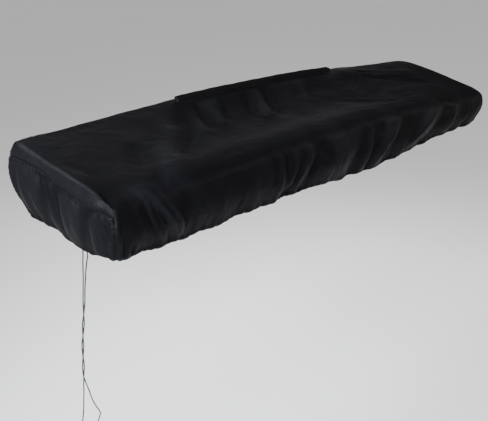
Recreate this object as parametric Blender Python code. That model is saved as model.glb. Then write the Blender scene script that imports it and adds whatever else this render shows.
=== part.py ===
"""Drawstring cover for an 88-key digital piano, in the shape in which it sits on the piano.

One long panel of thin nylon wraps the front, the top and the back. An end panel closes each end, sewn
on along a seam that lies a little below the top's end edge and runs down the two corners. The hem is a
channel that the drawcord gathers under the piano, and the cord's two free ends hang from the left end.
A sewn binding edges the slot in the top's back edge.

Metres, +X along the piano to the right end, -Y the player's side, +Z up. Heights in the tables below
are above the piano's underside. The origin is under the middle of the top, where the piano carries it.
"""
import math

import bmesh
import bpy
import numpy as np
from mathutils import Vector

# Outer size at the top edge, and the cloth
LENGTH = 1.36
DEPTH = 0.286
CLOTH = 0.002           # thickness of the cloth's solid
CHANNEL = 0.003         # thickness at the hem channel, where the cloth is doubled over the cord
SEAM_GAP = 0.00025      # how far each panel's edge stays back from a seam line
CLEAR = 0.0003          # gap between pieces that lie against each other

# Rounded edges and the turned-under hem
END_ROLL = 0.009        # radius of the top's end edges
FRONT_ROLL = 0.018
BACK_ROLL = 0.012
HEM_ROLL = 0.010        # radius at the bottom of the skirt
HEM_TUCK = 0.024        # how far the gathered channel reaches in under the piano
HEM_RISE = 0.004        # how far the channel's inner edge lies above the hem's lowest line

# Slot for a music rest, in the top near its back edge
SLOT_LEFT = -0.290
SLOT_RIGHT = 0.268
SLOT_FRONT = 0.112
SLOT_BACK = 0.125
BINDING_WALL = 0.0016
BINDING_ABOVE = 0.009   # how far the binding stands up from the top
BINDING_BELOW = 0.003
BINDING_GAP = 0.0001    # between the binding and the hole's edge, besides the seam gap

# Mesh density
COLUMNS = 76            # along the length
TOP_ROWS = 16           # across the top, the slot and the strip behind it included
EDGE_CROWDING = 0.22    # how much closer the columns lie near the ends
CORNER_PULL = 6         # how locally a corner's inset draws the columns beside it

# Height of the top: one row for each cross-section, one column for each depth in TOP_DEPTHS
TOP_DEPTHS = (-0.125, -0.090, -0.040, 0.040, 0.112, 0.131)
TOP_SECTIONS = (
    # x, height at each depth
    (-0.671, 0.094, 0.108, 0.120, 0.135, 0.149, 0.152),
    (-0.560, 0.101, 0.113, 0.121, 0.138, 0.153, 0.157),
    (-0.400, 0.104, 0.115, 0.122, 0.140, 0.160, 0.165),
    (-0.250, 0.107, 0.117, 0.122, 0.142, 0.169, 0.172),
    (-0.050, 0.109, 0.119, 0.122, 0.142, 0.172, 0.174),
    (0.150, 0.109, 0.118, 0.120, 0.141, 0.170, 0.173),
    (0.310, 0.104, 0.112, 0.118, 0.139, 0.164, 0.167),
    (0.460, 0.097, 0.107, 0.116, 0.135, 0.154, 0.158),
    (0.671, 0.086, 0.099, 0.114, 0.135, 0.148, 0.150),
)

# Skirt stations: place along the side, hem height, inset of the hem, outward bulge of the face
FRONT_SKIRT = (
    (-0.680, -0.006, 0.007, 0.005),
    (-0.620, -0.009, 0.005, 0.008),
    (-0.500, -0.011, 0.005, 0.008),
    (-0.336, -0.008, 0.005, 0.007),
    (-0.140, -0.008, 0.006, 0.008),
    (0.010, -0.015, 0.006, 0.010),
    (0.115, -0.018, 0.006, 0.008),
    (0.240, -0.013, 0.007, 0.008),
    (0.407, -0.003, 0.008, 0.007),
    (0.570, -0.001, 0.008, 0.007),
    (0.640, 0.000, 0.009, 0.006),
    (0.680, 0.005, 0.011, 0.005),
)
BACK_SKIRT = (
    (-0.680, 0.004, 0.015, 0.009),
    (-0.600, 0.000, 0.016, 0.009),
    (-0.450, -0.004, 0.015, 0.008),
    (-0.200, -0.008, 0.014, 0.007),
    (0.080, -0.010, 0.014, 0.008),
    (0.300, -0.006, 0.014, 0.007),
    (0.520, -0.002, 0.015, 0.008),
    (0.680, 0.006, 0.016, 0.007),
)
LEFT_SKIRT = (
    (-0.143, -0.006, 0.005, 0.004),
    (-0.098, -0.010, 0.007, 0.006),
    (-0.070, -0.016, 0.009, 0.007),
    (-0.040, -0.016, 0.010, 0.008),
    (0.000, -0.009, 0.011, 0.008),
    (0.050, -0.001, 0.012, 0.008),
    (0.100, 0.002, 0.013, 0.008),
    (0.143, 0.004, 0.014, 0.007),
)
RIGHT_SKIRT = (
    (-0.143, 0.005, 0.009, 0.004),
    (-0.090, 0.003, 0.011, 0.006),
    (0.000, 0.001, 0.012, 0.006),
    (0.080, 0.003, 0.013, 0.006),
    (0.143, 0.006, 0.014, 0.006),
)

# Height of the seam along each end; SEAM_FADE is how far from a corner the rows level out again
END_SEAM = (
    # y, height of the left seam, height of the right seam
    (-0.143, 0.072, 0.062),
    (-0.120, 0.078, 0.070),
    (-0.069, 0.085, 0.082),
    (-0.003, 0.103, 0.096),
    (0.054, 0.118, 0.111),
    (0.100, 0.126, 0.122),
    (0.143, 0.126, 0.124),
)
SEAM_FADE = 0.060

# The drawcord's two free ends, which wind loosely round each other halfway down
CORD_DIAMETER = 0.0025
CORD_POINTS = 64
CORD_PLACE = (-0.660, -0.033)
CORD_ACROSS = (0.659, -0.752)
CORD_AWAY = (0.752, 0.659)
CORD_START = 0.0005     # how far below the hem's lowest line the middle of a cord's end face lies
KNOT_RADIUS = 0.0034
KNOT_STRETCH = 1.25
NEAR_CORD = (
    # across, away, height, which is the hem's for None
    (0.0051, -0.0045, None),
    (0.0047, -0.0042, -0.0270),
    (0.0020, -0.0032, -0.0400),
    (-0.0008, -0.0020, -0.0590),
    (-0.0030, -0.0010, -0.0780),
    (-0.0050, -0.0004, -0.0960),
    (-0.0066, 0.0000, -0.1180),
    (-0.0099, 0.0016, -0.1400),
    (-0.0135, 0.0000, -0.1620),
    (-0.0141, -0.0016, -0.1840),
    (-0.0142, 0.0000, -0.2060),
    (-0.0168, 0.0016, -0.2280),
    (-0.0191, 0.0000, -0.2500),
    (-0.0184, -0.0016, -0.2700),
    (-0.0150, -0.0010, -0.2860),
    (-0.0105, 0.0000, -0.3030),
    (-0.0052, 0.0000, -0.3230),
    (0.0018, 0.0000, -0.3400),
    (0.0066, 0.0000, -0.3480),
    (0.0084, 0.0000, -0.3535),
    (0.0068, 0.0000, -0.3610),
    (0.0034, 0.0000, -0.3720),
    (0.0015, 0.0000, -0.3840),
    (0.0010, 0.0000, -0.3930),
)
FAR_CORD = (
    # across, away, height, which is the hem's for None
    (-0.0045, 0.0040, None),
    (-0.0049, 0.0038, -0.0260),
    (-0.0058, 0.0028, -0.0400),
    (-0.0064, 0.0016, -0.0600),
    (-0.0072, 0.0008, -0.0800),
    (-0.0086, 0.0003, -0.0980),
    (-0.0098, 0.0000, -0.1180),
    (-0.0099, -0.0016, -0.1400),
    (-0.0103, 0.0000, -0.1620),
    (-0.0141, 0.0016, -0.1840),
    (-0.0174, 0.0000, -0.2060),
    (-0.0168, -0.0016, -0.2280),
    (-0.0159, 0.0000, -0.2500),
    (-0.0184, 0.0016, -0.2720),
    (-0.0197, 0.0010, -0.2900),
    (-0.0203, 0.0004, -0.3080),
    (-0.0217, 0.0000, -0.3260),
    (-0.0230, 0.0000, -0.3460),
    (-0.0262, 0.0000, -0.3700),
    (-0.0285, 0.0000, -0.3920),
    (-0.0292, 0.0000, -0.4080),
)

# Rows of the skirt, counted down from the top's edge
ROLL_ROWS = 2
SEAM_ROW = 3
FACE_END = 6
LOWEST_ROW = 8
LAST_ROW = 9

# Soft ripples of the gathered hem: waves round the whole hem, height, phase
RIPPLES = ((41, 0.0014, 0.7), (25, 0.0011, 2.1), (53, 0.0008, 4.0))
RIPPLE_SHARE = (0, 0, 0, 0.1, 0.25, 0.5, 0.8, 1, 1, 1)  # of the ripple's height, on each row
CALM_AROUND_CORD = 0.035

# Main folds: start, end, width and depth of each; a depth below zero is a trough.
# The top's places are x and y, the front's and back's x and height, the ends' y and height.
FOLD_SPREAD = 0.6       # distance at which a fold has fallen to a third, as a share of its width
FLAT_AT_SLOT = 0.030    # the folds fade out within this distance of the slot
TOP_FOLDS_ABOVE = 0.050 # the top's folds reach no lower than this
TOP_FOLDS = (
    ((-0.507, 0.005), (-0.560, -0.075), 0.030, -0.002),
    ((-0.385, 0.031), (-0.509, -0.100), 0.042, 0.003),
    ((-0.322, 0.050), (-0.430, -0.055), 0.034, -0.004),
    ((-0.290, 0.061), (-0.318, 0.003), 0.026, 0.003),
    ((-0.256, 0.086), (-0.294, 0.016), 0.026, -0.004),
    ((-0.222, 0.075), (-0.250, 0.020), 0.026, 0.003),
    ((-0.186, 0.072), (-0.228, 0.024), 0.026, -0.003),
    ((-0.107, 0.075), (-0.154, 0.011), 0.028, -0.004),
    ((-0.071, 0.072), (-0.115, 0.008), 0.026, 0.004),
    ((-0.036, 0.080), (-0.083, 0.000), 0.028, -0.004),
    ((0.092, 0.076), (0.060, 0.027), 0.028, 0.002),
    ((0.127, -0.006), (0.277, -0.080), 0.030, -0.002),
    ((0.316, 0.100), (0.569, 0.050), 0.030, 0.003),
    ((0.380, 0.072), (0.548, -0.022), 0.030, -0.003),
    ((0.360, -0.021), (0.540, -0.050), 0.030, 0.002),
)
FRONT_FOLDS = (
    ((-0.614, 0.077), (-0.591, 0.010), 0.022, -0.003),
    ((-0.598, 0.090), (-0.574, 0.030), 0.022, 0.003),
    ((-0.590, 0.061), (-0.555, 0.000), 0.022, -0.003),
    ((-0.576, 0.085), (-0.532, 0.020), 0.022, 0.004),
    ((-0.528, 0.063), (-0.514, 0.005), 0.024, -0.003),
    ((-0.488, 0.070), (-0.470, 0.005), 0.030, 0.002),
    ((-0.400, 0.050), (-0.385, 0.000), 0.034, -0.002),
    ((-0.266, 0.100), (-0.272, 0.050), 0.024, -0.004),
    ((-0.248, 0.085), (-0.256, 0.020), 0.022, 0.004),
    ((-0.229, 0.085), (-0.236, 0.010), 0.024, -0.005),
    ((-0.208, 0.080), (-0.222, 0.030), 0.022, 0.003),
    ((-0.182, 0.072), (-0.214, 0.005), 0.024, -0.005),
    ((-0.152, 0.085), (-0.195, 0.015), 0.024, 0.004),
    ((-0.119, 0.078), (-0.178, 0.005), 0.026, -0.006),
    ((-0.115, 0.102), (-0.092, 0.060), 0.024, -0.004),
    ((-0.030, 0.090), (-0.060, 0.010), 0.050, 0.004),
    ((0.061, 0.085), (0.005, 0.010), 0.034, -0.006),
    ((0.085, 0.080), (0.048, 0.000), 0.026, 0.005),
    ((0.118, 0.084), (0.076, 0.010), 0.026, -0.005),
    ((0.196, 0.088), (0.105, 0.005), 0.032, 0.006),
    ((0.240, 0.080), (0.160, 0.005), 0.032, -0.006),
    ((0.330, 0.085), (0.225, 0.010), 0.040, -0.004),
    ((0.409, 0.091), (0.262, 0.010), 0.036, 0.007),
    ((0.450, 0.075), (0.345, 0.005), 0.034, -0.005),
    ((0.500, 0.075), (0.440, 0.010), 0.030, 0.004),
    ((0.555, 0.070), (0.500, 0.010), 0.032, -0.003),
    ((0.640, 0.060), (0.615, 0.010), 0.030, 0.002),
)
LEFT_FOLDS = (
    ((0.120, 0.112), (0.124, 0.040), 0.022, -0.003),
    ((0.108, 0.100), (0.104, 0.030), 0.020, 0.002),
    ((0.098, 0.085), (0.086, 0.010), 0.022, -0.003),
    ((0.040, 0.110), (0.020, 0.060), 0.022, -0.003),
    ((0.024, 0.095), (0.022, 0.020), 0.024, 0.004),
    ((0.005, 0.095), (0.000, 0.000), 0.024, -0.006),
    ((-0.020, 0.085), (-0.018, 0.010), 0.028, 0.004),
    ((-0.045, 0.080), (-0.040, 0.010), 0.026, 0.003),
    ((-0.072, 0.078), (-0.060, 0.000), 0.030, -0.005),
    ((-0.096, 0.068), (-0.090, 0.000), 0.024, 0.004),
    ((-0.121, 0.062), (-0.121, 0.010), 0.022, -0.003),
)
RIGHT_FOLDS = (
    ((0.112, 0.105), (0.104, 0.020), 0.028, -0.004),
    ((0.070, 0.100), (0.060, 0.010), 0.030, 0.004),
    ((0.028, 0.095), (0.030, 0.010), 0.028, -0.004),
    ((-0.018, 0.085), (-0.012, 0.010), 0.030, 0.003),
    ((-0.060, 0.075), (-0.050, 0.005), 0.030, -0.004),
    ((-0.104, 0.060), (-0.092, 0.010), 0.028, 0.003),
)
BACK_FOLDS = (
    ((-0.620, 0.110), (-0.600, 0.020), 0.036, -0.004),
    ((-0.560, 0.120), (-0.545, 0.010), 0.036, 0.004),
    ((-0.470, 0.110), (-0.440, 0.010), 0.040, -0.004),
    ((-0.350, 0.125), (-0.360, 0.010), 0.044, 0.005),
    ((-0.285, 0.145), (-0.310, 0.030), 0.036, -0.004),
    ((-0.160, 0.120), (-0.130, 0.010), 0.050, 0.004),
    ((-0.050, 0.130), (-0.070, 0.010), 0.040, -0.005),
    ((0.040, 0.120), (0.050, 0.010), 0.044, 0.004),
    ((0.150, 0.125), (0.120, 0.010), 0.040, -0.004),
    ((0.330, 0.140), (0.350, 0.020), 0.036, -0.005),
    ((0.400, 0.120), (0.405, 0.010), 0.040, 0.004),
    ((0.500, 0.115), (0.470, 0.010), 0.044, -0.004),
    ((0.610, 0.110), (0.590, 0.020), 0.036, 0.004),
)

ORIGIN_HEIGHT = 0.1277  # of the top's underside at the middle, above the piano's underside
SHARP_ANGLE = 50        # degrees; edges that turn further are shaded sharp
CORD_SAMPLES = 1000     # of the smooth curve, from which a cord's even points are read

# Finishes: colour and roughness
NYLON = ((0.012, 0.012, 0.014), 0.42)
BINDING = ((0.010, 0.010, 0.011), 0.50)
CORD_BLACK = ((0.008, 0.008, 0.008), 0.70)


def smooth(nodes, values, at):
    """Reads the smooth curve through the nodes at each place; beyond the last node it runs level."""
    nodes = np.asarray(nodes, float)
    values = np.asarray(values, float)
    at = np.clip(np.asarray(at, float), nodes[0], nodes[-1])
    slopes = np.gradient(values, nodes, axis=0)
    i = np.clip(np.searchsorted(nodes, at, side="right") - 1, 0, len(nodes) - 2)
    span = nodes[i + 1] - nodes[i]
    t = (at - nodes[i]) / span
    each = (np.arange(len(at)),) if values.ndim == 2 else ()
    start = values[(i, *each)] * (1 + 2 * t) * (1 - t) ** 2 + slopes[(i, *each)] * span * t * (1 - t) ** 2
    end = values[(i + 1, *each)] * t * t * (3 - 2 * t) + slopes[(i + 1, *each)] * span * t * t * (t - 1)
    return start + end


def column_of(table, column, at):
    """Reads one column of a station table, whose first column is the place."""
    rows = np.array(table)
    return smooth(rows[:, 0], rows[:, column], at)


def top_height(x, y):
    """Height of the top's outer face."""
    sections = np.array(TOP_SECTIONS)
    at_depths = np.array([smooth(sections[:, 0], sections[:, k + 1], x) for k in range(len(TOP_DEPTHS))])
    return smooth(TOP_DEPTHS, at_depths, y)


def offsets_and_heights(row, roll_h, roll_v, ridge, share, bulge, inset, hem):
    """Gives how far a skirt row lies outside the top edge's outline, and its height."""
    roll_end = ridge - roll_v
    face_end = hem + HEM_ROLL
    if row <= ROLL_ROWS:
        angle = math.pi / 2 * row / ROLL_ROWS
        return -roll_h * (1 - math.sin(angle)), ridge - roll_v * (1 - math.cos(angle))
    if row <= FACE_END:
        down = share[row - SEAM_ROW]
        out = bulge * np.sin(math.pi * down) - inset * down ** 1.5
        return out, roll_end + (face_end - roll_end) * down
    if row <= LOWEST_ROW:
        angle = math.pi / 2 * (row - FACE_END) / (LOWEST_ROW - FACE_END)
        return -inset - HEM_ROLL * (1 - math.cos(angle)), hem + HEM_ROLL * (1 - math.sin(angle))
    return -inset - HEM_ROLL - HEM_TUCK, hem + HEM_RISE


def columns():
    """Places of the columns along the length, with one on each end of the slot."""
    t = np.linspace(-1, 1, COLUMNS + 1)
    x = LENGTH / 2 * (t * (1 + EDGE_CROWDING) - EDGE_CROWDING * t ** 3)
    for end in (SLOT_LEFT, SLOT_RIGHT):
        x[np.argmin(abs(x - end))] = end
    return x


def rows_across():
    """Places of the top's rows, with one on each side of the slot."""
    even = np.linspace(FRONT_ROLL - DEPTH / 2, SLOT_FRONT, TOP_ROWS - 1)
    return np.concatenate([even, [SLOT_BACK, DEPTH / 2 - BACK_ROLL]])


def perimeter(x, y):
    """Lists the loop of places round the top's edge, as column and row of the top's grid."""
    last_x = len(x) - 1
    last_y = len(y) - 1
    front = [(i, 0) for i in range(last_x)]
    right = [(last_x, j) for j in range(last_y)]
    back = [(i, last_y) for i in range(last_x, 0, -1)]
    left = [(0, j) for j in range(last_y, 0, -1)]
    return front + right + back + left


def fade(distance, over):
    """Rises smoothly from 0 at a distance of nothing to 1 at `over`."""
    t = np.clip(distance / over, 0, 1)
    return t * t * (3 - 2 * t)


def skirt(x, y, loop):
    """Works out the skirt's rows below the top's edge: an array of rows, places round the loop and xyz."""
    column, row = np.array(loop).T
    half_x, half_y = LENGTH / 2, DEPTH / 2
    place_x = x[column]
    roll_y = np.where(y[row] < 0, FRONT_ROLL, BACK_ROLL)
    share_x = place_x / half_x
    share_y = y[row] / (half_y - roll_y)
    at_end = (column == 0) | (column == len(x) - 1)
    at_side = (row == 0) | (row == len(y) - 1)
    place_y = share_y * half_y

    def read(k):
        """Reads a station column on the end and on the side that each place belongs to."""
        left = column_of(LEFT_SKIRT, k, place_y)
        right = column_of(RIGHT_SKIRT, k, place_y)
        front = column_of(FRONT_SKIRT, k, place_x)
        back = column_of(BACK_SKIRT, k, place_x)
        return np.where(place_x < 0, left, right), np.where(place_y < 0, front, back)

    end_hem, side_hem = read(1)
    end_inset, side_inset = read(2)
    end_bulge, side_bulge = read(3)
    hem = np.where(at_side, side_hem, end_hem)
    ridge_x = np.sign(share_x) * (half_x - END_ROLL)
    ridge_x = np.where(at_end, ridge_x, place_x)
    ridge = top_height(ridge_x, np.where(at_side, np.sign(share_y) * (half_y - roll_y), y[row]))
    inland = np.where(at_end, 0, fade(half_x - abs(place_x), SEAM_FADE))
    roll_v = END_ROLL + (roll_y - END_ROLL) * inland
    seam = np.where(place_x < 0, column_of(END_SEAM, 1, place_y), column_of(END_SEAM, 2, place_y))
    first = (ridge - roll_v - seam) / (ridge - roll_v - hem - HEM_ROLL)
    first = first + (1 / (FACE_END - SEAM_ROW + 1) - first) * inland
    share = [first + (1 - first) * k / (FACE_END - SEAM_ROW) for k in range(FACE_END - SEAM_ROW + 1)]

    rows = []
    for k in range(1, LAST_ROW + 1):
        out_x, _ = offsets_and_heights(k, END_ROLL, roll_v, ridge, share, end_bulge, end_inset, hem)
        out_y, height = offsets_and_heights(k, roll_y, roll_v, ridge, share, side_bulge, side_inset, hem)
        pull = np.where(at_end, 1, abs(share_x) ** CORNER_PULL)
        px = np.where(at_end, np.sign(share_x) * half_x, place_x) + np.sign(share_x) * pull * out_x
        py = share_y * (half_y + out_y)
        rows.append(np.stack([px, py, height + 0 * px], -1))
    return np.array(rows)


def cover_surface():
    """Builds the whole outer face as points, quads and the panel that each quad belongs to."""
    x = columns()
    y = rows_across()
    pull = abs(2 * x / LENGTH) ** CORNER_PULL
    grid_x, grid_y = np.meshgrid(x - np.sign(x) * pull * END_ROLL, y, indexing="ij")
    top = np.stack([grid_x, grid_y, top_height(grid_x.ravel(), grid_y.ravel()).reshape(grid_x.shape)], -1)
    loop = perimeter(x, y)
    rows = skirt(x, y, loop)
    points = np.concatenate([top.reshape(-1, 3), rows.reshape(-1, 3)])

    across = len(y)
    slot_columns = range(np.argmin(abs(x - SLOT_LEFT)), np.argmin(abs(x - SLOT_RIGHT)))
    slot_row = across - 3
    quads = []
    panels = []
    for i in range(len(x) - 1):
        for j in range(across - 1):
            if j == slot_row and i in slot_columns:
                continue
            quads.append((i * across + j, (i + 1) * across + j, (i + 1) * across + j + 1, i * across + j + 1))
            panels.append("main_panel")

    edge = np.array([i * across + j for i, j in loop])
    size = len(loop)
    rings = [edge] + [len(x) * across + k * size + np.arange(size) for k in range(LAST_ROW)]
    for k in range(LAST_ROW):
        for s in range(size):
            n = (s + 1) % size
            quads.append((rings[k][s], rings[k + 1][s], rings[k + 1][n], rings[k][n]))
            ends = {loop[s][0], loop[n][0]}
            if ends == {0} and k >= SEAM_ROW:
                panels.append("left_end_panel")
            elif ends == {len(x) - 1} and k >= SEAM_ROW:
                panels.append("right_end_panel")
            else:
                panels.append("main_panel")
    return points, np.array(quads), np.array(panels), rings


def point_normals(points, quads):
    """Averages the quads' normals, weighted by area, at each point."""
    a, b, c, d = (points[quads[:, k]] for k in range(4))
    face = np.cross(c - a, d - b)
    total = np.zeros_like(points)
    for k in range(4):
        np.add.at(total, quads[:, k], face)
    return total / np.linalg.norm(total, axis=1, keepdims=True)


def fold_heights(folds, a, b):
    """Adds up soft ridges and troughs: each falls off as a bell with the distance from its line."""
    height = np.zeros_like(a)
    for start, end, width, depth in folds:
        along = np.subtract(end, start)
        t = ((a - start[0]) * along[0] + (b - start[1]) * along[1]) / (along @ along)
        t = np.clip(t, 0, 1)
        distance = np.hypot(a - start[0] - t * along[0], b - start[1] - t * along[1])
        height += depth * np.exp(-(distance / (FOLD_SPREAD * width)) ** 2)
    return height


def folded(points, quads, rings):
    """Pushes the folds and the hem's ripples into the surface, along its normals."""
    normals = point_normals(points, quads)
    x, y, z = points.T
    off_slot = np.hypot(np.maximum(0, np.maximum(SLOT_LEFT - x, x - SLOT_RIGHT)),
                        np.maximum(0, np.maximum(SLOT_FRONT - y, y - SLOT_BACK)))
    push = np.where(z > TOP_FOLDS_ABOVE, normals[:, 2].clip(0) ** 2 * fold_heights(TOP_FOLDS, x, y), 0)
    push *= fade(off_slot, FLAT_AT_SLOT)
    push += normals[:, 1].clip(None, 0) ** 2 * fold_heights(FRONT_FOLDS, x, z)
    push += normals[:, 1].clip(0) ** 2 * fold_heights(BACK_FOLDS, x, z) * fade(off_slot, FLAT_AT_SLOT)
    push += normals[:, 0].clip(None, 0) ** 2 * fold_heights(LEFT_FOLDS, y, z)
    push += normals[:, 0].clip(0) ** 2 * fold_heights(RIGHT_FOLDS, y, z)

    outline = points[rings[SEAM_ROW]]
    step = np.linalg.norm(np.roll(outline, -1, axis=0) - outline, axis=1)
    turn = 2 * math.pi * (np.cumsum(step) - step) / step.sum()
    ripple = sum(height * np.sin(waves * turn + phase) for waves, height, phase in RIPPLES)
    calm = fade(np.hypot(outline[:, 0] - CORD_PLACE[0], outline[:, 1] - CORD_PLACE[1]), CALM_AROUND_CORD)
    for ring, share in zip(rings, RIPPLE_SHARE):
        push[ring] += share * ripple * calm
    return points + normals * push[:, None]


def new_object(name, mesh, material):
    """Adds a mesh to the scene under its name, with its own material."""
    obj = bpy.data.objects.new(name, mesh)
    bpy.context.scene.collection.objects.link(obj)
    obj.data.materials.append(material)
    return obj


def new_mesh(name, points, faces):
    """Makes a smooth-shaded mesh, with its heights measured from the origin under the top."""
    mesh = bpy.data.meshes.new(name)
    mesh.from_pydata([(px, py, pz - ORIGIN_HEIGHT) for px, py, pz in points], [], faces)
    mesh.validate()
    mesh.shade_smooth()
    mesh.set_sharp_from_angle(angle=math.radians(SHARP_ANGLE))
    return mesh


def panel_mesh(name, points, normals, thickness, quads):
    """Cuts one panel out of the surface, draws its edge back from the seams and gives it its thickness."""
    used = np.unique(quads)
    place = np.full(len(points), -1)
    place[used] = np.arange(len(used))
    quads = place[quads]
    outer = points[used]
    sides = [(int(q[k]), int(q[(k + 1) % 4])) for q in quads for k in range(4)]
    paired = set(sides)
    border = [(a, b) for a, b in sides if (b, a) not in paired]

    after = {a: b for a, b in border}
    before = {b: a for a, b in border}
    moved = outer.copy()
    for v, following in after.items():
        normal = normals[used[v]]
        one = np.cross(normal, outer[v] - outer[before[v]])
        two = np.cross(normal, outer[following] - outer[v])
        one /= np.linalg.norm(one)
        two /= np.linalg.norm(two)
        moved[v] += SEAM_GAP * (one + two) / (1 + one @ two)

    inner = moved - normals[used] * thickness[used][:, None]
    size = len(used)
    faces = [tuple(int(v) for v in q) for q in quads]
    faces += [tuple(size + int(v) for v in reversed(q)) for q in quads]
    faces += [(b, a, size + a, size + b) for a, b in border]
    return new_mesh(name, np.concatenate([moved, inner]), faces)


def slot_binding_mesh(x):
    """Makes the band that edges the slot: a loop of upright wall standing in the hole."""
    left, right = SLOT_LEFT + BINDING_GAP, SLOT_RIGHT - BINDING_GAP
    front, back = SLOT_FRONT + BINDING_GAP, SLOT_BACK - BINDING_GAP
    run = np.clip(x[(x >= SLOT_LEFT - CLEAR) & (x <= SLOT_RIGHT + CLEAR)], left, right)
    outer = [(px, front) for px in run] + [(px, back) for px in run[::-1]]
    middle = (front + back) / 2
    inner = []
    for px, py in outer:
        inner.append((np.clip(px, left + BINDING_WALL, right - BINDING_WALL),
                      py + math.copysign(BINDING_WALL, middle - py)))
    surface = top_height(*np.array(outer).T)
    points = []
    for (ox, oy), (ix, iy), height in zip(outer, inner, surface):
        low, high = height - BINDING_BELOW, height + BINDING_ABOVE
        points += [(ox, oy, low), (ox, oy, high), (ix, iy, high), (ix, iy, low)]
    size = len(outer)
    faces = []
    for s in range(size):
        n = (s + 1) % size
        for k in range(4):
            m = (k + 1) % 4
            faces.append((4 * s + k, 4 * n + k, 4 * n + m, 4 * s + m))
    return new_mesh("slot_binding", points, faces)


def hem_height(lowest, px, py):
    """Height of the hem's lowest line, read between the two of its points that lie nearest to a place."""
    nearest = np.argsort(np.hypot(lowest[:, 0] - px, lowest[:, 1] - py))[:2]
    a, b = lowest[nearest]
    side = b[:2] - a[:2]
    t = np.dot((px - a[0], py - a[1]), side) / (side @ side)
    return a[2] + t * (b[2] - a[2])


def cord_route(rows, lowest):
    """Reads evenly spaced points off the smooth curve through a cord's route."""
    route = []
    for across, away, height in rows:
        px = CORD_PLACE[0] + across * CORD_ACROSS[0] + away * CORD_AWAY[0]
        py = CORD_PLACE[1] + across * CORD_ACROSS[1] + away * CORD_AWAY[1]
        if height is None:
            height = hem_height(lowest, px, py) - CORD_START
        route.append((px, py, height))
    route = np.array(route)
    chord = np.concatenate([[0], np.cumsum(np.linalg.norm(np.diff(route, axis=0), axis=1))])
    fine = np.linspace(0, chord[-1], CORD_SAMPLES)
    curve = np.stack([smooth(chord, route[:, k], fine) for k in range(3)], -1)
    run = np.concatenate([[0], np.cumsum(np.linalg.norm(np.diff(curve, axis=0), axis=1))])
    even = np.linspace(0, run[-1], CORD_POINTS)
    return np.stack([np.interp(even, run, curve[:, k]) for k in range(3)], -1)


def cord(name, rows, lowest, material):
    """Makes one free end of the drawcord, with its knot just past the end."""
    points = cord_route(rows, lowest)
    points[:, 2] -= ORIGIN_HEIGHT
    curve = bpy.data.curves.new(name, "CURVE")
    curve.dimensions = "3D"
    curve.bevel_depth = CORD_DIAMETER / 2
    curve.bevel_resolution = 2
    curve.use_fill_caps = True
    spline = curve.splines.new("POLY")
    spline.points.add(len(points) - 1)
    for point, place in zip(spline.points, points):
        point.co = (*place, 1)
    new_object(name, curve, material)

    along = Vector(points[-1] - points[-2]).normalized()
    bm = bmesh.new()
    bmesh.ops.create_icosphere(bm, subdivisions=2, radius=KNOT_RADIUS)
    for vert in bm.verts:
        vert.co.z *= KNOT_STRETCH
    centre = Vector(points[-1]) + along * (KNOT_RADIUS * KNOT_STRETCH + CLEAR)
    bmesh.ops.translate(bm, verts=bm.verts, vec=centre)
    mesh = bpy.data.meshes.new(name + "_knot")
    bm.to_mesh(mesh)
    bm.free()
    mesh.shade_smooth()
    new_object(name + "_knot", mesh, material.copy())


def finish(name, colour, roughness):
    """Makes a plain Principled material."""
    material = bpy.data.materials.new(name)
    material.use_nodes = True
    shader = material.node_tree.nodes["Principled BSDF"]
    shader.inputs["Base Color"].default_value = (*colour, 1)
    shader.inputs["Roughness"].default_value = roughness
    shader.inputs["Metallic"].default_value = 0
    return material


def main():
    for obj in list(bpy.data.objects):
        bpy.data.objects.remove(obj)

    points, quads, panels, rings = cover_surface()
    points = folded(points, quads, rings)
    normals = point_normals(points, quads)
    x = columns()
    y = rows_across()
    across = len(y)
    for i in range(np.argmin(abs(x - SLOT_LEFT)), np.argmin(abs(x - SLOT_RIGHT)) + 1):
        for j in (across - 3, across - 2):
            normals[i * across + j] = (0, 0, 1)
    thickness = np.full(len(points), CLOTH)
    for ring in rings[LOWEST_ROW:]:
        thickness[ring] = CHANNEL

    for name in ("main_panel", "left_end_panel", "right_end_panel"):
        mesh = panel_mesh(name, points, normals, thickness, quads[panels == name])
        new_object(name, mesh, finish(name + "_nylon", *NYLON))
    new_object("slot_binding", slot_binding_mesh(x), finish("binding_nylon", *BINDING))
    lowest = points[rings[LOWEST_ROW]]
    cord("near_cord", NEAR_CORD, lowest, finish("near_cord_black", *CORD_BLACK))
    cord("far_cord", FAR_CORD, lowest, finish("far_cord_black", *CORD_BLACK))


main()
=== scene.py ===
"""Looks of a fitted nylon piano cover with a drawcord, in the shape that it has in use.

The cloth is worked out as one fine surface: the cover's form, its main folds, and then the small things
that make it cloth, which are the pinched creases, the gathers over the hem, the pulled-in seams and the
faint unevenness of thin nylon. Each panel is cut from that surface and gets its thickness.

Metres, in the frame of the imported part. The tables of form, folds and creases are in millimetres. Their
heights and those of the cords' routes are above the hem's rough level, ORIGIN_HEIGHT below the origin.
"""

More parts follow.
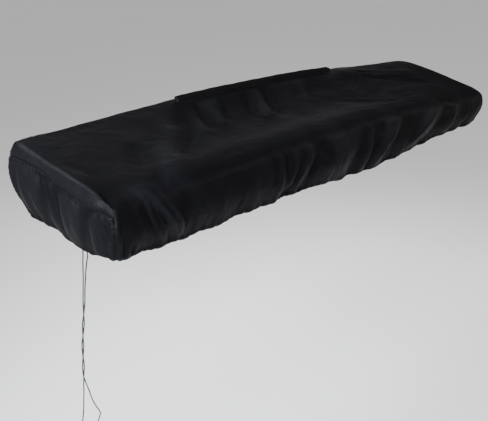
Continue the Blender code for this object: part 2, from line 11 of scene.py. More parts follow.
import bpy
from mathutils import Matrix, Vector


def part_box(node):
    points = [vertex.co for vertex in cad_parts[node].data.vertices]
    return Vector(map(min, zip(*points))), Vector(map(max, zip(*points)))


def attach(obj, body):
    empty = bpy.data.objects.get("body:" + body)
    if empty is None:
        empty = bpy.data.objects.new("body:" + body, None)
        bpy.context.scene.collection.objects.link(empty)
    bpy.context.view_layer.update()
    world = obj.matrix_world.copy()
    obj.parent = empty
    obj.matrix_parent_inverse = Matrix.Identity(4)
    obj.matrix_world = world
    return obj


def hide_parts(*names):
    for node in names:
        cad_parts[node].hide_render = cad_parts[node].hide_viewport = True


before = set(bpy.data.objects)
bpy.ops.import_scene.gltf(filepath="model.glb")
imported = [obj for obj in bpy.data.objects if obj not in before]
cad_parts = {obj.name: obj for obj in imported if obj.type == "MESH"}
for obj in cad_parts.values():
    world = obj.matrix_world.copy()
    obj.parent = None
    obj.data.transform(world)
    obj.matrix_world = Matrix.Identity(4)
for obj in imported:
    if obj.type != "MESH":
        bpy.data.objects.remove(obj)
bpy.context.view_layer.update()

import logging
import math
from dataclasses import dataclass, field
from enum import Enum

import bpy
import numpy as np
from mathutils import Matrix

LOG = logging.getLogger("piano_cover")
Array = np.ndarray
Place = tuple[float, float]

MM = 0.001
ORIGIN_HEIGHT = 0.1277
BODY = "root"
CLOTH_MAP = "cloth"        # the UV map, in metres along the cloth
CREST = "crest"            # attribute: how far a point stands out, from -1 in a trough to 1 on a crest
GATHER = "gather"          # attribute: how much the drawcord or a seam gathers the cloth, from 0 to 1
FAR = 1.0                  # a distance that stands for being nowhere near


class Face(Enum):
    """The cover's faces. Each holds its two table axes, the axis that it looks along, and its sign."""

    TOP = (0, 1, 2, 1)
    FRONT = (0, 2, 1, -1)
    BACK = (0, 2, 1, 1)
    LEFT = (1, 2, 0, -1)
    RIGHT = (1, 2, 0, 1)


class Panel(Enum):
    """The cut pieces of cloth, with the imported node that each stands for."""

    MAIN = "main_panel"
    LEFT_END = "left_end_panel"
    RIGHT_END = "right_end_panel"


TOP_DEPTHS = (-125, -90, -40, 40, 112, 131)
TOP_SECTIONS = (
    # x, height of the top at each depth
    (-671, 94, 108, 120, 135, 149, 152),
    (-560, 101, 113, 121, 138, 153, 157),
    (-400, 104, 115, 122, 140, 160, 165),
    (-250, 107, 117, 122, 142, 169, 172),
    (-50, 109, 119, 122, 142, 172, 174),
    (150, 109, 118, 120, 141, 170, 173),
    (310, 104, 112, 118, 139, 164, 167),
    (460, 97, 107, 116, 135, 154, 158),
    (671, 86, 99, 114, 135, 148, 150),
)
FRONT_SKIRT = (
    # x, hem height, inset of the hem, outward bulge of the face
    (-680, -6, 7, 5),
    (-620, -9, 5, 8),
    (-500, -11, 5, 8),
    (-336, -8, 5, 7),
    (-140, -8, 6, 8),
    (10, -15, 6, 10),
    (115, -18, 6, 8),
    (240, -13, 7, 8),
    (407, -3, 8, 7),
    (570, -1, 8, 7),
    (640, 0, 9, 6),
    (680, 5, 11, 5),
)
BACK_SKIRT = (
    # x, hem height, inset, bulge
    (-680, 4, 15, 9),
    (-600, 0, 16, 9),
    (-450, -4, 15, 8),
    (-200, -8, 14, 7),
    (80, -10, 14, 8),
    (300, -6, 14, 7),
    (520, -2, 15, 8),
    (680, 6, 16, 7),
)
LEFT_SKIRT = (
    # y, hem height, inset, bulge
    (-143, -6, 5, 4),
    (-98, -10, 7, 6),
    (-70, -16, 9, 7),
    (-40, -16, 10, 8),
    (0, -9, 11, 8),
    (50, -1, 12, 8),
    (100, 2, 13, 8),
    (143, 4, 14, 7),
)
RIGHT_SKIRT = (
    # y, hem height, inset, bulge
    (-143, 5, 9, 4),
    (-90, 3, 11, 6),
    (0, 1, 12, 6),
    (80, 3, 13, 6),
    (143, 6, 14, 6),
)
END_SEAM = (
    # y, height of the left seam, height of the right seam
    (-143, 72, 62),
    (-120, 78, 70),
    (-69, 85, 82),
    (-3, 103, 96),
    (54, 118, 111),
    (100, 126, 122),
    (143, 126, 124),
)

# Main folds of each face: start, end, width and height, with troughs below zero
MAIN_FOLDS: dict[Face, tuple] = {
    Face.TOP: (
        (-507, 5, -560, -75, 30, -2), (-385, 31, -509, -100, 42, 3), (-322, 50, -430, -55, 40, -2.8),
        (-290, 61, -318, 3, 26, 3), (-256, 86, -294, 16, 26, -4), (-222, 75, -250, 20, 26, 3),
        (-186, 72, -228, 24, 26, -3), (-107, 75, -154, 11, 28, -4), (-71, 72, -115, 8, 26, 4),
        (-36, 80, -83, 0, 28, -4), (92, 76, 60, 27, 28, 2), (127, -6, 277, -80, 30, -2),
        (316, 100, 569, 50, 30, 3), (380, 72, 548, -22, 30, -3), (360, -21, 540, -50, 30, 2),
    ),
    Face.FRONT: (
        (-614, 77, -591, 10, 22, -3), (-598, 90, -574, 30, 22, 3), (-590, 61, -555, 0, 22, -3),
        (-576, 85, -532, 20, 22, 4), (-528, 63, -514, 5, 24, -3), (-488, 70, -470, 5, 30, 2),
        (-400, 50, -385, 0, 34, -2), (-266, 100, -272, 50, 24, -4), (-248, 85, -256, 20, 22, 4),
        (-229, 85, -236, 10, 24, -5), (-208, 80, -222, 30, 22, 3), (-182, 72, -214, 5, 24, -5),
        (-152, 85, -195, 15, 24, 4), (-119, 78, -178, 5, 26, -6), (-115, 102, -92, 60, 24, -4),
        (-30, 90, -60, 10, 50, 4), (61, 85, 5, 10, 34, -6), (85, 80, 48, 0, 26, 5),
        (118, 84, 76, 10, 26, -5), (196, 88, 105, 5, 32, 6), (240, 80, 160, 5, 32, -6),
        (330, 85, 225, 10, 40, -4), (409, 91, 262, 10, 36, 7), (450, 75, 345, 5, 34, -5),
        (500, 75, 440, 10, 30, 4), (555, 70, 500, 10, 32, -3), (640, 60, 615, 10, 30, 2),
    ),
    Face.LEFT: (
        (120, 112, 124, 40, 22, -3), (108, 100, 104, 30, 20, 2), (98, 85, 86, 10, 22, -3),
        (40, 110, 20, 60, 22, -3), (24, 95, 22, 20, 24, 4), (5, 95, 0, 0, 22, -4.2),
        (-20, 85, -18, 10, 28, 4), (-45, 80, -40, 10, 26, 3), (-72, 78, -60, 0, 26, -3.4),
        (-96, 68, -90, 0, 24, 4), (-121, 62, -121, 10, 22, -3),
    ),
    Face.RIGHT: (
        (112, 105, 104, 20, 28, -4), (70, 100, 60, 10, 30, 4), (28, 95, 30, 10, 28, -4),
        (-18, 85, -12, 10, 30, 3), (-60, 75, -50, 5, 30, -4), (-104, 60, -92, 10, 28, 3),
    ),
    Face.BACK: (
        (-620, 110, -600, 20, 36, -4), (-560, 120, -545, 10, 36, 4), (-470, 110, -440, 10, 40, -4),
        (-350, 125, -360, 10, 44, 5), (-285, 145, -310, 30, 36, -4), (-160, 120, -130, 10, 50, 4),
        (-50, 130, -70, 10, 40, -5), (40, 120, 50, 10, 44, 4), (150, 125, 120, 10, 40, -4),
        (330, 140, 350, 20, 36, -5), (400, 120, 405, 10, 40, 4), (500, 115, 470, 10, 44, -4),
        (610, 110, 590, 20, 36, 4),
    ),
}

# Pinched creases of each face: start, end, half width, height, and how far the line bows sideways
CREASES: dict[Face, tuple] = {
    Face.TOP: (
        (-674, 14, -660, -58, 11, 3, 2), (-655, 10, -645, -50, 8, -1.4, 2),
        (-507, 5, -553, -69, 7, -1.2, 4), (-440, 20, -500, -85, 12, 1.2, 6),
        (-322, 50, -420, -50, 9, -2, 8), (-300, 70, -322, 3, 5, 1.6, 3), (-322, 6, -306, -36, 5, 1.4, 3),
        (-256, 86, -294, 16, 6, -2.2, -4), (-236, 60, -262, 0, 6, 1.2, 3), (-186, 72, -226, 26, 6, -2, 3),
        (-226, 50, -238, 4, 4, -1, 1), (-107, 72, -152, 13, 6, -2.4, -4), (-120, 85, -140, 50, 4, 1.2, 2),
        (-178, 22, -205, -24, 5, -1, 2), (-39, 79, -83, 2, 6, -3, -6), (-30, 62, -70, 6, 5, 1.6, -3),
        (-71, 62, -93, 4, 4, -1, 2), (-137, 6, -95, -12, 4, 1.6, 2), (-357, -110, -332, -124, 4, 1.4, 2),
        (-372, -104, -338, -96, 5, -1, 3), (-310, -70, -260, -85, 6, 0.9, 4),
        (-258, 48, -286, -2, 5, -1, 3), (92, 78, 58, 26, 6, 1.6, 3), (106, 66, 76, 26, 5, -1.4, 3),
        (150, 84, 172, 52, 4, 1.6, 2), (144, 76, 158, 50, 4, -1.2, 2), (228, 62, 226, 30, 4, 1.4, 2),
        (356, 106, 312, 44, 6, -1.2, 4), (340, 100, 300, 50, 5, 1.2, 3), (316, 112, 575, 52, 5, 3, 4),
        (330, 102, 560, 36, 5, -2.4, 4), (398, 76, 446, 2, 6, -1.4, 5), (350, 88, 470, 48, 5, 2.2, 3),
        (447, 66, 550, -20, 6, -2, 6), (430, 70, 590, 20, 6, 1.8, 4), (127, -6, 280, -60, 6, 1.3, 6),
        (160, -36, 300, -90, 6, -1.2, 4), (360, -21, 530, -60, 7, -1.2, 4), (330, -50, 460, -80, 6, 1, 4),
        (210, -90, 420, -112, 7, 1.2, 5), (42, -66, 200, -100, 8, -0.9, 5),
        (-626, -105, -600, -125, 5, 1.2, 2), (-560, 110, -500, 60, 10, 0.8, 6),
        (-620, 60, -560, 20, 10, -0.7, 6),
    ),
    Face.FRONT: (
        (-676, 40, -673, -6, 3, -2.2, 0), (-669, 50, -666, -6, 4, 2.6, 1), (-661, 46, -659, -6, 3, -2.2, 1),
        (-652, 30, -650, -6, 3, 2.2, 1), (-645, 36, -642, -6, 3, -2.4, 1), (-636, 16, -633, -6, 3, 2, 1),
        (-670, 66, -655, -4, 5, -1.6, 1), (-656, 60, -644, 4, 4, -1.6, 1), (-640, 34, -655, 0, 4, 2.2, 1),
        (-648, 74, -656, 42, 5, 1.2, 1), (-634, 92, -622, 30, 5, 2.4, 2),
        (-618, 88, -593, 10, 3.5, -3.6, 2), (-611, 92, -586, 16, 3, 2.4, 1), (-606, 94, -578, 20, 3, -2, 1),
        (-600, 86, -566, 8, 3.5, 3, 2), (-600, 80, -556, 0, 3.5, -4, 3), (-594, 96, -546, 16, 3.5, 4, 3),
        (-586, 92, -538, 26, 3, -2.6, 2), (-572, 90, -530, 26, 3.5, 2.2, 2),
        (-536, 70, -522, 8, 4, -3.6, 1), (-543, 40, -530, 4, 5, 2, 1), (-507, 42, -502, 10, 4, -2, 0),
        (-492, 74, -472, 34, 4, -2, -2), (-480, 50, -470, 4, 6, 1.4, 1), (-428, 60, -420, 6, 7, 1, 1),
        (-370, 36, -388, 8, 4, -2.2, 1), (-360, 50, -372, 10, 5, 1.6, 1), (-322, 60, -316, 4, 6, -1.2, 1),
        (-266, 104, -270, 60, 4, -3, 1), (-252, 64, -268, 14, 4, -1.8, 1), (-231, 88, -234, 20, 4, -3.6, 2),
        (-222, 90, -224, 40, 4, 2.2, 1), (-183, 70, -216, 16, 5, -4, 2), (-172, 72, -200, 20, 5, 2.4, 2),
        (-161, 66, -190, 20, 4, -1.8, 1), (-173, 112, -182, 88, 4, -2, 1), (-119, 76, -172, 18, 5, -4.4, 3),
        (-106, 70, -150, 18, 5, 2.4, 2), (-116, 106, -93, 58, 5, -3.4, 2), (-96, 100, -78, 66, 4, 2, 1),
        (-60, 106, -70, 70, 4, 1.2, 1), (-35, 66, -56, 26, 4, -1.6, 1), (-10, 104, -30, 62, 5, -1.2, 2),
        (20, 100, -6, 50, 5, 1.4, 2), (59, 83, 8, 30, 6, -3.4, 4), (80, 62, 54, 4, 5, 3, 2),
        (96, 50, 66, -6, 4, -2.2, 2), (110, 86, 76, 30, 5, -2.6, 2), (170, 90, 142, 30, 5, -2.4, 2),
        (191, 106, 190, 86, 4, 1.8, 1), (198, 80, 106, 8, 6, 3.8, 4), (220, 70, 140, 4, 5, -2.6, 4),
        (300, 70, 240, 14, 6, -1.6, 3), (358, 64, 286, 10, 6, -2.2, 3), (404, 90, 252, 14, 8, 4, 6),
        (430, 66, 330, 6, 6, -2, 4), (498, 60, 458, 18, 4, 3.2, 2), (520, 60, 476, 12, 5, -1.8, 2),
        (580, 60, 560, 14, 6, 1.2, 1), (640, 50, 634, 12, 5, -1.2, 1),
    ),
    Face.LEFT: (
        (119, 114, 124, 58, 4, -2, 1), (130, 100, 134, 40, 5, 1, 1), (97, 81, 91, 26, 4, -2.2, 1),
        (81, 112, 84, 52, 4, -1.6, -1), (88, 70, 78, 16, 4, -1.8, 1), (66, 110, 62, 60, 6, 1.2, 1),
        (58, 124, 48, 80, 4, -1.6, 1), (41, 110, 22, 70, 4, -2.6, 1), (34, 112, 18, 90, 4, 2.2, 1),
        (30, 70, 24, 20, 5, 1.6, 1), (5, 95, 2, 18, 4, -4.2, 1), (-4, 90, -16, 50, 5, 2, 1),
        (-18, 70, -12, 16, 5, 1.6, -1), (-34, 84, -26, 20, 4, -1.4, 1), (-48, 80, -44, 10, 6, 1.6, 1),
        (-84, 66, -76, 10, 3, -1.6, 1), (-71, 74, -58, -6, 5, -1.8, 2), (14, 100, 6, 40, 3, -2, 1),
        (-26, 80, -30, 30, 3, -1.4, 1), (-94, 45, -90, -4, 4, 3, 1), (-103, 56, -98, 10, 4, -1.4, 1),
        (-119, 60, -122, 36, 4, -2.4, 0), (-112, 58, -110, 14, 4, 1.4, 0), (-134, 66, -130, 46, 4, -1.8, 0),
        (-130, 40, -127, 2, 4, 1.4, 0),
    ),
    Face.RIGHT: (
        (126, 112, 124, 44, 4, -2, 1), (96, 104, 86, 30, 5, 2, 1), (64, 100, 50, 20, 4, -2.4, 1),
        (34, 90, 38, 24, 4, -1.6, 1), (6, 88, -2, 16, 5, 2.2, 1), (-30, 80, -22, 14, 4, -2.6, 1),
        (-70, 70, -60, 14, 4, 1.8, 1), (-92, 66, -80, 10, 4, -2, 1), (-124, 54, -116, 14, 4, -1.6, 1),
    ),
    Face.BACK: (
        (-646, 118, -630, 30, 5, -2.2, 2), (-612, 124, -590, 40, 5, 2, 2),
        (-530, 100, -510, 12, 5, -2.6, 2), (-450, 80, -438, 10, 5, -2, 2), (-386, 110, -400, 20, 6, 2.4, 2),
        (-320, 130, -336, 50, 5, -2.2, 2), (-240, 90, -222, 10, 5, -2.4, 2),
        (-170, 130, -150, 40, 6, 2.2, 2), (-90, 110, -100, 12, 5, -2.6, 2), (-10, 80, 4, 8, 5, 2, 2),
        (84, 120, 70, 20, 5, -2.4, 2), (180, 100, 160, 12, 6, 2.2, 2), (262, 120, 280, 20, 5, -2.6, 2),
        (360, 110, 384, 20, 5, 2, 2), (440, 100, 430, 12, 5, -2.2, 2), (540, 100, 524, 20, 5, 2.2, 2),
        (640, 100, 628, 30, 5, -2.2, 2),
    ),
}


def fade(distance: Array, over: float) -> Array:
    """Rises smoothly from 0 at a distance of nothing to 1 at `over`: 3t² - 2t³.

    Args:
        distance: Distances, below zero counting as nothing.
        over: The distance at which the result is 1.

    Returns:
        Numbers from 0 to 1.
    """
    t = np.clip(distance / over, 0, 1)
    return t * t * (3 - 2 * t)


def smooth(nodes: Array, values: Array, at: Array) -> Array:
    """Reads the smooth curve through the nodes at each place, level beyond the last ones.

    Between two nodes it is the cubic with their values and their central slopes.

    Args:
        nodes: Places of the nodes, rising.
        values: Value at each node, or a column of values for each place read.
        at: Places to read.

    Returns:
        One value for each place.
    """
    nodes = np.asarray(nodes, float)
    values = np.asarray(values, float)
    at = np.clip(np.asarray(at, float), nodes[0], nodes[-1])
    slopes = np.gradient(values, nodes, axis=0)
    i = np.clip(np.searchsorted(nodes, at, side="right") - 1, 0, len(nodes) - 2)
    span = nodes[i + 1] - nodes[i]
    t = (at - nodes[i]) / span
    each = (np.arange(len(at)),) if values.ndim == 2 else ()
    one, two = (i, *each), (i + 1, *each)
    start = values[one] * (1 + 2 * t) * (1 - t) ** 2 + slopes[one] * span * t * (1 - t) ** 2
    end = values[two] * t * t * (3 - 2 * t) + slopes[two] * span * t * t * (t - 1)
    return start + end


def unit(vectors: Array) -> Array:
    """Scales vectors to a length of 1."""
    return vectors / np.linalg.norm(vectors, axis=-1, keepdims=True)


def grid(rows: Array, columns: Array) -> list[Array]:
    """Pairs every row with every column, as one array of rows and one of columns."""
    return np.meshgrid(rows, columns, indexing="ij")


def run_of(line: Array) -> Array:
    """Gives how far along a line of points each point is."""
    return np.concatenate([[0], np.cumsum(np.linalg.norm(np.diff(line, axis=0), axis=1))])


def read_along(at: Array, run: Array, line: Array) -> Array:
    """Reads a line of points, whose runs are known, at other runs."""
    return np.stack([np.interp(at, run, line[:, k]) for k in range(3)], -1)


def column_of(table: tuple, column: int, at: Array) -> Array:
    """Reads one column of a station table, whose first column is the place.

    Args:
        table: Rows of numbers.
        column: Which column to read.
        at: Places to read it at.

    Returns:
        One value for each place.
    """
    rows = np.array(table) * MM
    return smooth(rows[:, 0], rows[:, column], at)


def unit_normals(points: Array, quads: Array) -> Array:
    """Averages the unit normals of the quads round each point, so that their sizes don't matter.

    Args:
        points: Rows of x, y, z.
        quads: Rows of four point numbers.

    Returns:
        One unit normal for each point.
    """
    a, b, c, d = (points[quads[:, k]] for k in range(4))
    face = unit(np.cross(c - a, d - b))
    total = np.zeros_like(points)
    for k in range(4):
        np.add.at(total, quads[:, k], face)
    return total / np.maximum(np.linalg.norm(total, axis=1, keepdims=True), 1e-12)


def lone_edges(quads: Array, count: int) -> tuple[Array, Array]:
    """Finds the directed edges that no neighbour shares.

    Args:
        quads: Rows of four point numbers.
        count: How many points there are.

    Returns:
        The edges' first points and their second points.
    """
    a = quads.ravel()
    b = np.roll(quads, -1, axis=1).ravel()
    alone = ~np.isin(a * count + b, b * count + a)
    return a[alone], b[alone]


def quads_between(rings: int, sides: int, closed: bool = False) -> Array:
    """Lists the quads between rings of points.

    Args:
        rings: How many rings there are.
        sides: How many points each has. The last is joined to the first.
        closed: Whether the last ring is joined to the first too.

    Returns:
        Rows of four point numbers: across to the next ring, along it and back.
    """
    k, s = grid(np.arange(rings if closed else rings - 1), np.arange(sides))
    m, n = (k + 1) % rings, (s + 1) % sides
    return np.stack([k * sides + s, m * sides + s, m * sides + n, k * sides + n], -1).reshape(-1, 4)


def tube_faces(rings: int, sides: int) -> tuple[Array, Array]:
    """Lists the faces of a closed tube, whose points are its rings, then its first tip and its last.

    Args:
        rings: How many rings it has.
        sides: How many points each has.

    Returns:
        The quads of its side, and the triangles of its two tips.
    """
    s = np.arange(sides)
    n = (s + 1) % sides
    tip, last = rings * sides, (rings - 1) * sides
    tips = (np.stack([n, s, 0 * s + tip], 1), np.stack([last + s, last + n, 0 * s + tip + 1], 1))
    return quads_between(rings, sides)[:, [0, 3, 2, 1]], np.concatenate(tips)


def add_piece(name: str, points: Array, faces: list, material: bpy.types.Material) -> bpy.types.Object:
    """Puts a smooth-shaded mesh into the scene, with heights measured from the origin under the top.

    Args:
        name: The object's name.
        points: Rows of x, y and height above the hem's rough level.
        faces: Point numbers of each face.
        material: Its finish.

    Returns:
        The new object, at the origin.
    """
    mesh = bpy.data.meshes.new(name)
    mesh.from_pydata((points - (0, 0, ORIGIN_HEIGHT)).tolist(), [], faces)
    mesh.shade_smooth()
    mesh.materials.append(material)
    obj = bpy.data.objects.new(name, mesh)
    bpy.context.scene.collection.objects.link(obj)
    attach(obj, BODY)
    return obj


def add_map(obj: bpy.types.Object, name: str, values: Array) -> None:
    """Gives each corner of a mesh its point's place on the cloth, as a UV map.

    Args:
        obj: The mesh object.
        name: The map's name.
        values: Two numbers for each point.
    """
    mesh = obj.data
    corner = np.empty(len(mesh.loops), np.int32)
    mesh.loops.foreach_get("vertex_index", corner)
    mesh.uv_layers.new(name=name).data.foreach_set("uv", values[corner].astype(np.float32).ravel())


def add_number(obj: bpy.types.Object, name: str, values: Array) -> None:
    """Gives each point of a mesh a number, as an attribute.

    Args:
        obj: The mesh object.
        name: The attribute's name.
        values: One number for each point.
    """
    layer = obj.data.attributes.new(name, "FLOAT", "POINT")
    layer.data.foreach_set("value", values.astype(np.float32))


class Number:
    """A number that varies over a surface, held by a socket. Operators on it add Math nodes."""

    def __init__(self, graph: "Graph", socket: bpy.types.NodeSocket) -> None:
        """Wraps a socket of a graph."""
        self.graph = graph
        self.socket = socket

    def _math(self, operation: str, *values: "Number | float") -> "Number":
        """Adds a Math node on the values."""
        return self.graph.number("ShaderNodeMath", {"operation": operation}, dict(enumerate(values)))

    def __add__(self, other: "Number | float") -> "Number":
        """Adds a number."""
        return self._math("ADD", self, other)

    def __radd__(self, other: float) -> "Number":
        """Adds to a number."""
        return self._math("ADD", other, self)

    def __sub__(self, other: "Number | float") -> "Number":
        """Takes a number away."""
        return self._math("SUBTRACT", self, other)

    def __rsub__(self, other: float) -> "Number":
        """Is taken away from a number."""
        return self._math("SUBTRACT", other, self)

    def __mul__(self, other: "Number | float") -> "Number":
        """Multiplies by a number."""
        return self._math("MULTIPLY", self, other)

    def __rmul__(self, other: float) -> "Number":
        """Multiplies a number."""
        return self._math("MULTIPLY", other, self)

    def sine(self) -> "Number":
        """Gives its sine."""
        return self._math("SINE", self)

    def size(self) -> "Number":
        """Gives it without its sign."""
        return self._math("ABSOLUTE", self)

    def within(self, low: float, high: float) -> "Number":
        """Rises smoothly from 0 at `low` to 1 at `high`."""
        ends = {"Value": self, "From Min": low, "From Max": high}
        return self.graph.number("ShaderNodeMapRange", {"interpolation_type": "SMOOTHSTEP"}, ends)


class Graph:
    """The node tree of one material, with its Principled shader."""

    def __init__(self, name: str, colour: tuple, roughness: float, **constants: float) -> None:
        """Makes the material.

        Args:
            name: The material's name.
            colour: Linear red, green and blue.
            roughness: The shader's roughness.
            **constants: Other sockets of the shader, with _ for a space in their names.
        """
        self.material = bpy.data.materials.new(name)
        self.material.use_nodes = True
        self.tree = self.material.node_tree
        self.shader = self.tree.nodes["Principled BSDF"]
        self.shader.inputs["Base Color"].default_value = (*colour, 1)
        self.shader.inputs["Roughness"].default_value = roughness
        self.shader.inputs["Metallic"].default_value = 0
        for key, value in constants.items():
            self.shader.inputs[key.replace("_", " ")].default_value = value

    def node(self, kind: str, settings: dict, values: dict) -> bpy.types.Node:
        """Adds a node.

        Args:
            kind: The node's type.
            settings: Its own settings, which are set first.
            values: A value, or a socket or Number to link, for each input, by name or number.

        Returns:
            The node.
        """
        node = self.tree.nodes.new(kind)
        for key, value in settings.items():
            setattr(node, key, value)
        for key, value in values.items():
            value = value.socket if isinstance(value, Number) else value
            if isinstance(value, bpy.types.NodeSocket):
                self.tree.links.new(value, node.inputs[key])
            else:
                node.inputs[key].default_value = value
        return node

    def number(self, kind: str, settings: dict, values: dict, output: int | str = 0) -> Number:
        """Adds a node and gives one of its outputs as a Number."""
        return Number(self, self.node(kind, settings, values).outputs[output])

    def attribute(self, name: str) -> Number:
        """Reads a number that the mesh holds for each point."""
        return self.number("ShaderNodeAttribute", {"attribute_name": name}, {}, "Fac")

    def stretched(self, place: bpy.types.NodeSocket, scales: tuple) -> bpy.types.NodeSocket:
        """Scales a place by a factor for each axis."""
        settings = {"operation": "MULTIPLY"}
        return self.node("ShaderNodeVectorMath", settings, {0: place, 1: scales}).outputs["Vector"]

    def parts(self, place: bpy.types.NodeSocket) -> list[Number]:
        """Splits a place into its coordinates."""
        split = self.node("ShaderNodeSeparateXYZ", {}, {"Vector": place})
        return [Number(self, output) for output in split.outputs]

    def cloth_place(self) -> list[Number]:
        """Gives the two places along the cloth in metres."""
        return self.parts(self.node("ShaderNodeUVMap", {"uv_map": CLOTH_MAP}, {}).outputs["UV"])[:2]

    def round_the_hem(self, place: bpy.types.NodeSocket, fall: float) -> bpy.types.NodeSocket:
        """Gives a place whose first part runs on round every corner, as x + y does, and whose second falls.

        Args:
            place: The place in the object's coordinates.
            fall: A factor for the height.

        Returns:
            The new place.
        """
        x, y, z = self.parts(place)
        return self.node("ShaderNodeCombineXYZ", {}, {"X": x + y, "Y": z * fall}).outputs["Vector"]

    def object_place(self) -> bpy.types.NodeSocket:
        """Gives the place in the object's own coordinates."""
        return self.node("ShaderNodeTexCoord", {}, {}).outputs["Object"]

    def noise(self, place: bpy.types.NodeSocket, scale: float, detail: float = 3, seed: float = 0) -> Number:
        """Gives a soft noise from 0 to 1."""
        settings = {"noise_dimensions": "4D"}
        return self.number("ShaderNodeTexNoise", settings,
                           {"Vector": place, "W": seed, "Scale": scale, "Detail": detail}, "Fac")

    def bump(self, height: Number, distance: float, strength: float = 1) -> None:
        """Adds a bump to the shader's normal, on top of the bumps that it has.

        Args:
            height: The bump's height, as a share of its distance.
            distance: The height in metres for 1.
            strength: How much of it shows.
        """
        values = {"Height": height, "Distance": distance, "Strength": strength}
        normal = self.shader.inputs["Normal"]
        if normal.links:
            values["Normal"] = normal.links[0].from_socket
        self.tree.links.new(self.node("ShaderNodeBump", {}, values).outputs["Normal"], normal)

    def tint(self, share: Number, low: tuple, high: tuple) -> None:
        """Mixes the base colour between two colours."""
        mix = self.node("ShaderNodeMix", {"data_type": "RGBA"}, {"Factor": share})
        mix.inputs[6].default_value = (*low, 1)
        mix.inputs[7].default_value = (*high, 1)
        self.tree.links.new(mix.outputs[2], self.shader.inputs["Base Color"])

    def rough(self, value: Number) -> None:
        """Drives the shader's roughness."""
        self.tree.links.new(value.socket, self.shader.inputs["Roughness"])


@dataclass(frozen=True)
class NylonFinish:
    """Thin, plain-woven black nylon with a satin sheen."""

    thread: float = 0.0006
    weave_depth: float = 0.000012
    crumple_scale: float = 55
    crumple_depth: float = 0.0007
    crease_scale: float = 24
    crease_stretch: tuple = (0.55, 1.0, 0.8)
    crease_depth: float = -0.0030
    pleat_scale: float = 52
    pleat_fall: float = 0.24
    pleat_depth: float = 0.0022
    # The nylon's two colours. The lighter one shows at random and as a painted highlight on fold crests. The
    # darker one shows as painted shade in troughs and along the gathered hem and seams.
    dark_tone_and_shade: tuple = (0.0016, 0.0016, 0.0021)
    light_tone_and_highlight: tuple = (0.0036, 0.0036, 0.0046)
    roughness: float = 0.46
    specular: float = 0.048
    cloud_scale: float = 9
    crest_painted_light_share: float = 0.5
    gather_painted_shade_share: float = -0.35
    light_tone_from: float = 0.25
    light_tone_to: float = 1.1
    cloud_rough: float = 0.12
    crest_rough: float = -0.04
    gather_rough: float = 0.12
    even_rough: float = -0.05
    crease_from: float = 0.40
    crease_to: float = 0.66

    def material(self, name: str, seed: float) -> bpy.types.Material:
        """Makes the finish.

        The weave's height is the product of a sine along each thread direction. A broad noise shifts the
        colour at random and, together with the crest of each fold and the gathers, the roughness. The crest
        paints a highlight into the colour on crests and shade into it in troughs. The gathers paint shade
        into it along the hem and the seams. A finer noise crumples the surface.

        Args:
            name: The material's name.
            seed: Shifts its noises, so that no two panels have the same.

        Returns:
            The material.
        """
        graph = Graph(name, self.dark_tone_and_shade, self.roughness, Specular_IOR_Level=self.specular)
        u, v = graph.cloth_place()
        place = graph.object_place()
        crest = graph.attribute(CREST)
        gather = graph.attribute(GATHER)
        cloud = graph.noise(place, self.cloud_scale, 2, seed)
        turn = 2 * math.pi / self.thread
        # Colour: random tone from the noise, a painted highlight on fold crests, and painted shade in troughs
        # and along the gathered hem and seams.
        tone_and_painted_light = crest * self.crest_painted_light_share + cloud + self.gather_painted_shade_share * gather
        graph.tint(tone_and_painted_light.within(self.light_tone_from, self.light_tone_to), self.dark_tone_and_shade, self.light_tone_and_highlight)
        graph.rough(self.roughness + self.even_rough + self.cloud_rough * cloud + self.crest_rough * crest
                    + self.gather_rough * gather)
        graph.bump(graph.noise(place, self.crumple_scale, 3, seed + 3), self.crumple_depth)
        soft = graph.noise(graph.stretched(place, self.crease_stretch), self.crease_scale, 2, seed + 6)
        where = cloud.within(self.crease_from, self.crease_to)
        graph.bump((2 * soft - 1).size() * where, self.crease_depth)
        pulled = graph.noise(graph.round_the_hem(place, self.pleat_fall), self.pleat_scale, 2, seed + 9)
        graph.bump((2 * pulled - 1).size() * gather, self.pleat_depth)
        graph.bump((u * turn).sine() * (v * turn).sine(), self.weave_depth)
        return graph.material


@dataclass(frozen=True)
class TapeFinish:
    """Ribbed black binding tape."""

    rib: float = 0.0011
    depth: float = 0.00008
    dark: tuple = (0.0015, 0.0015, 0.0017)
    light: tuple = (0.004, 0.004, 0.0045)
    roughness: float = 0.75
    specular: float = 0.06
    noise_scale: float = 180

    def material(self) -> bpy.types.Material:
        """Makes the finish: ribs across the tape and a slight noise in its colour."""
        graph = Graph("binding_tape", self.dark, self.roughness, Specular_IOR_Level=self.specular)
        u, _ = graph.cloth_place()
        graph.tint(graph.noise(graph.object_place(), self.noise_scale), self.dark, self.light)
        graph.bump((u * (2 * math.pi / self.rib)).sine(), self.depth)
        return graph.material


@dataclass(frozen=True)
class ThreadFinish:
    """Black sewing thread with a slight gloss."""

    colour: tuple = (0.010, 0.010, 0.011)
    roughness: float = 0.5
    specular: float = 0.4
    twist_scale: float = 2600
    twist_depth: float = 0.0001

    def material(self) -> bpy.types.Material:
        """Makes the finish: a fine twist, as noise stretched over the thread."""
        graph = Graph("sewing_thread", self.colour, self.roughness, Specular_IOR_Level=self.specular)
        graph.bump(graph.noise(graph.object_place(), self.twist_scale, 2), self.twist_depth)
        return graph.material


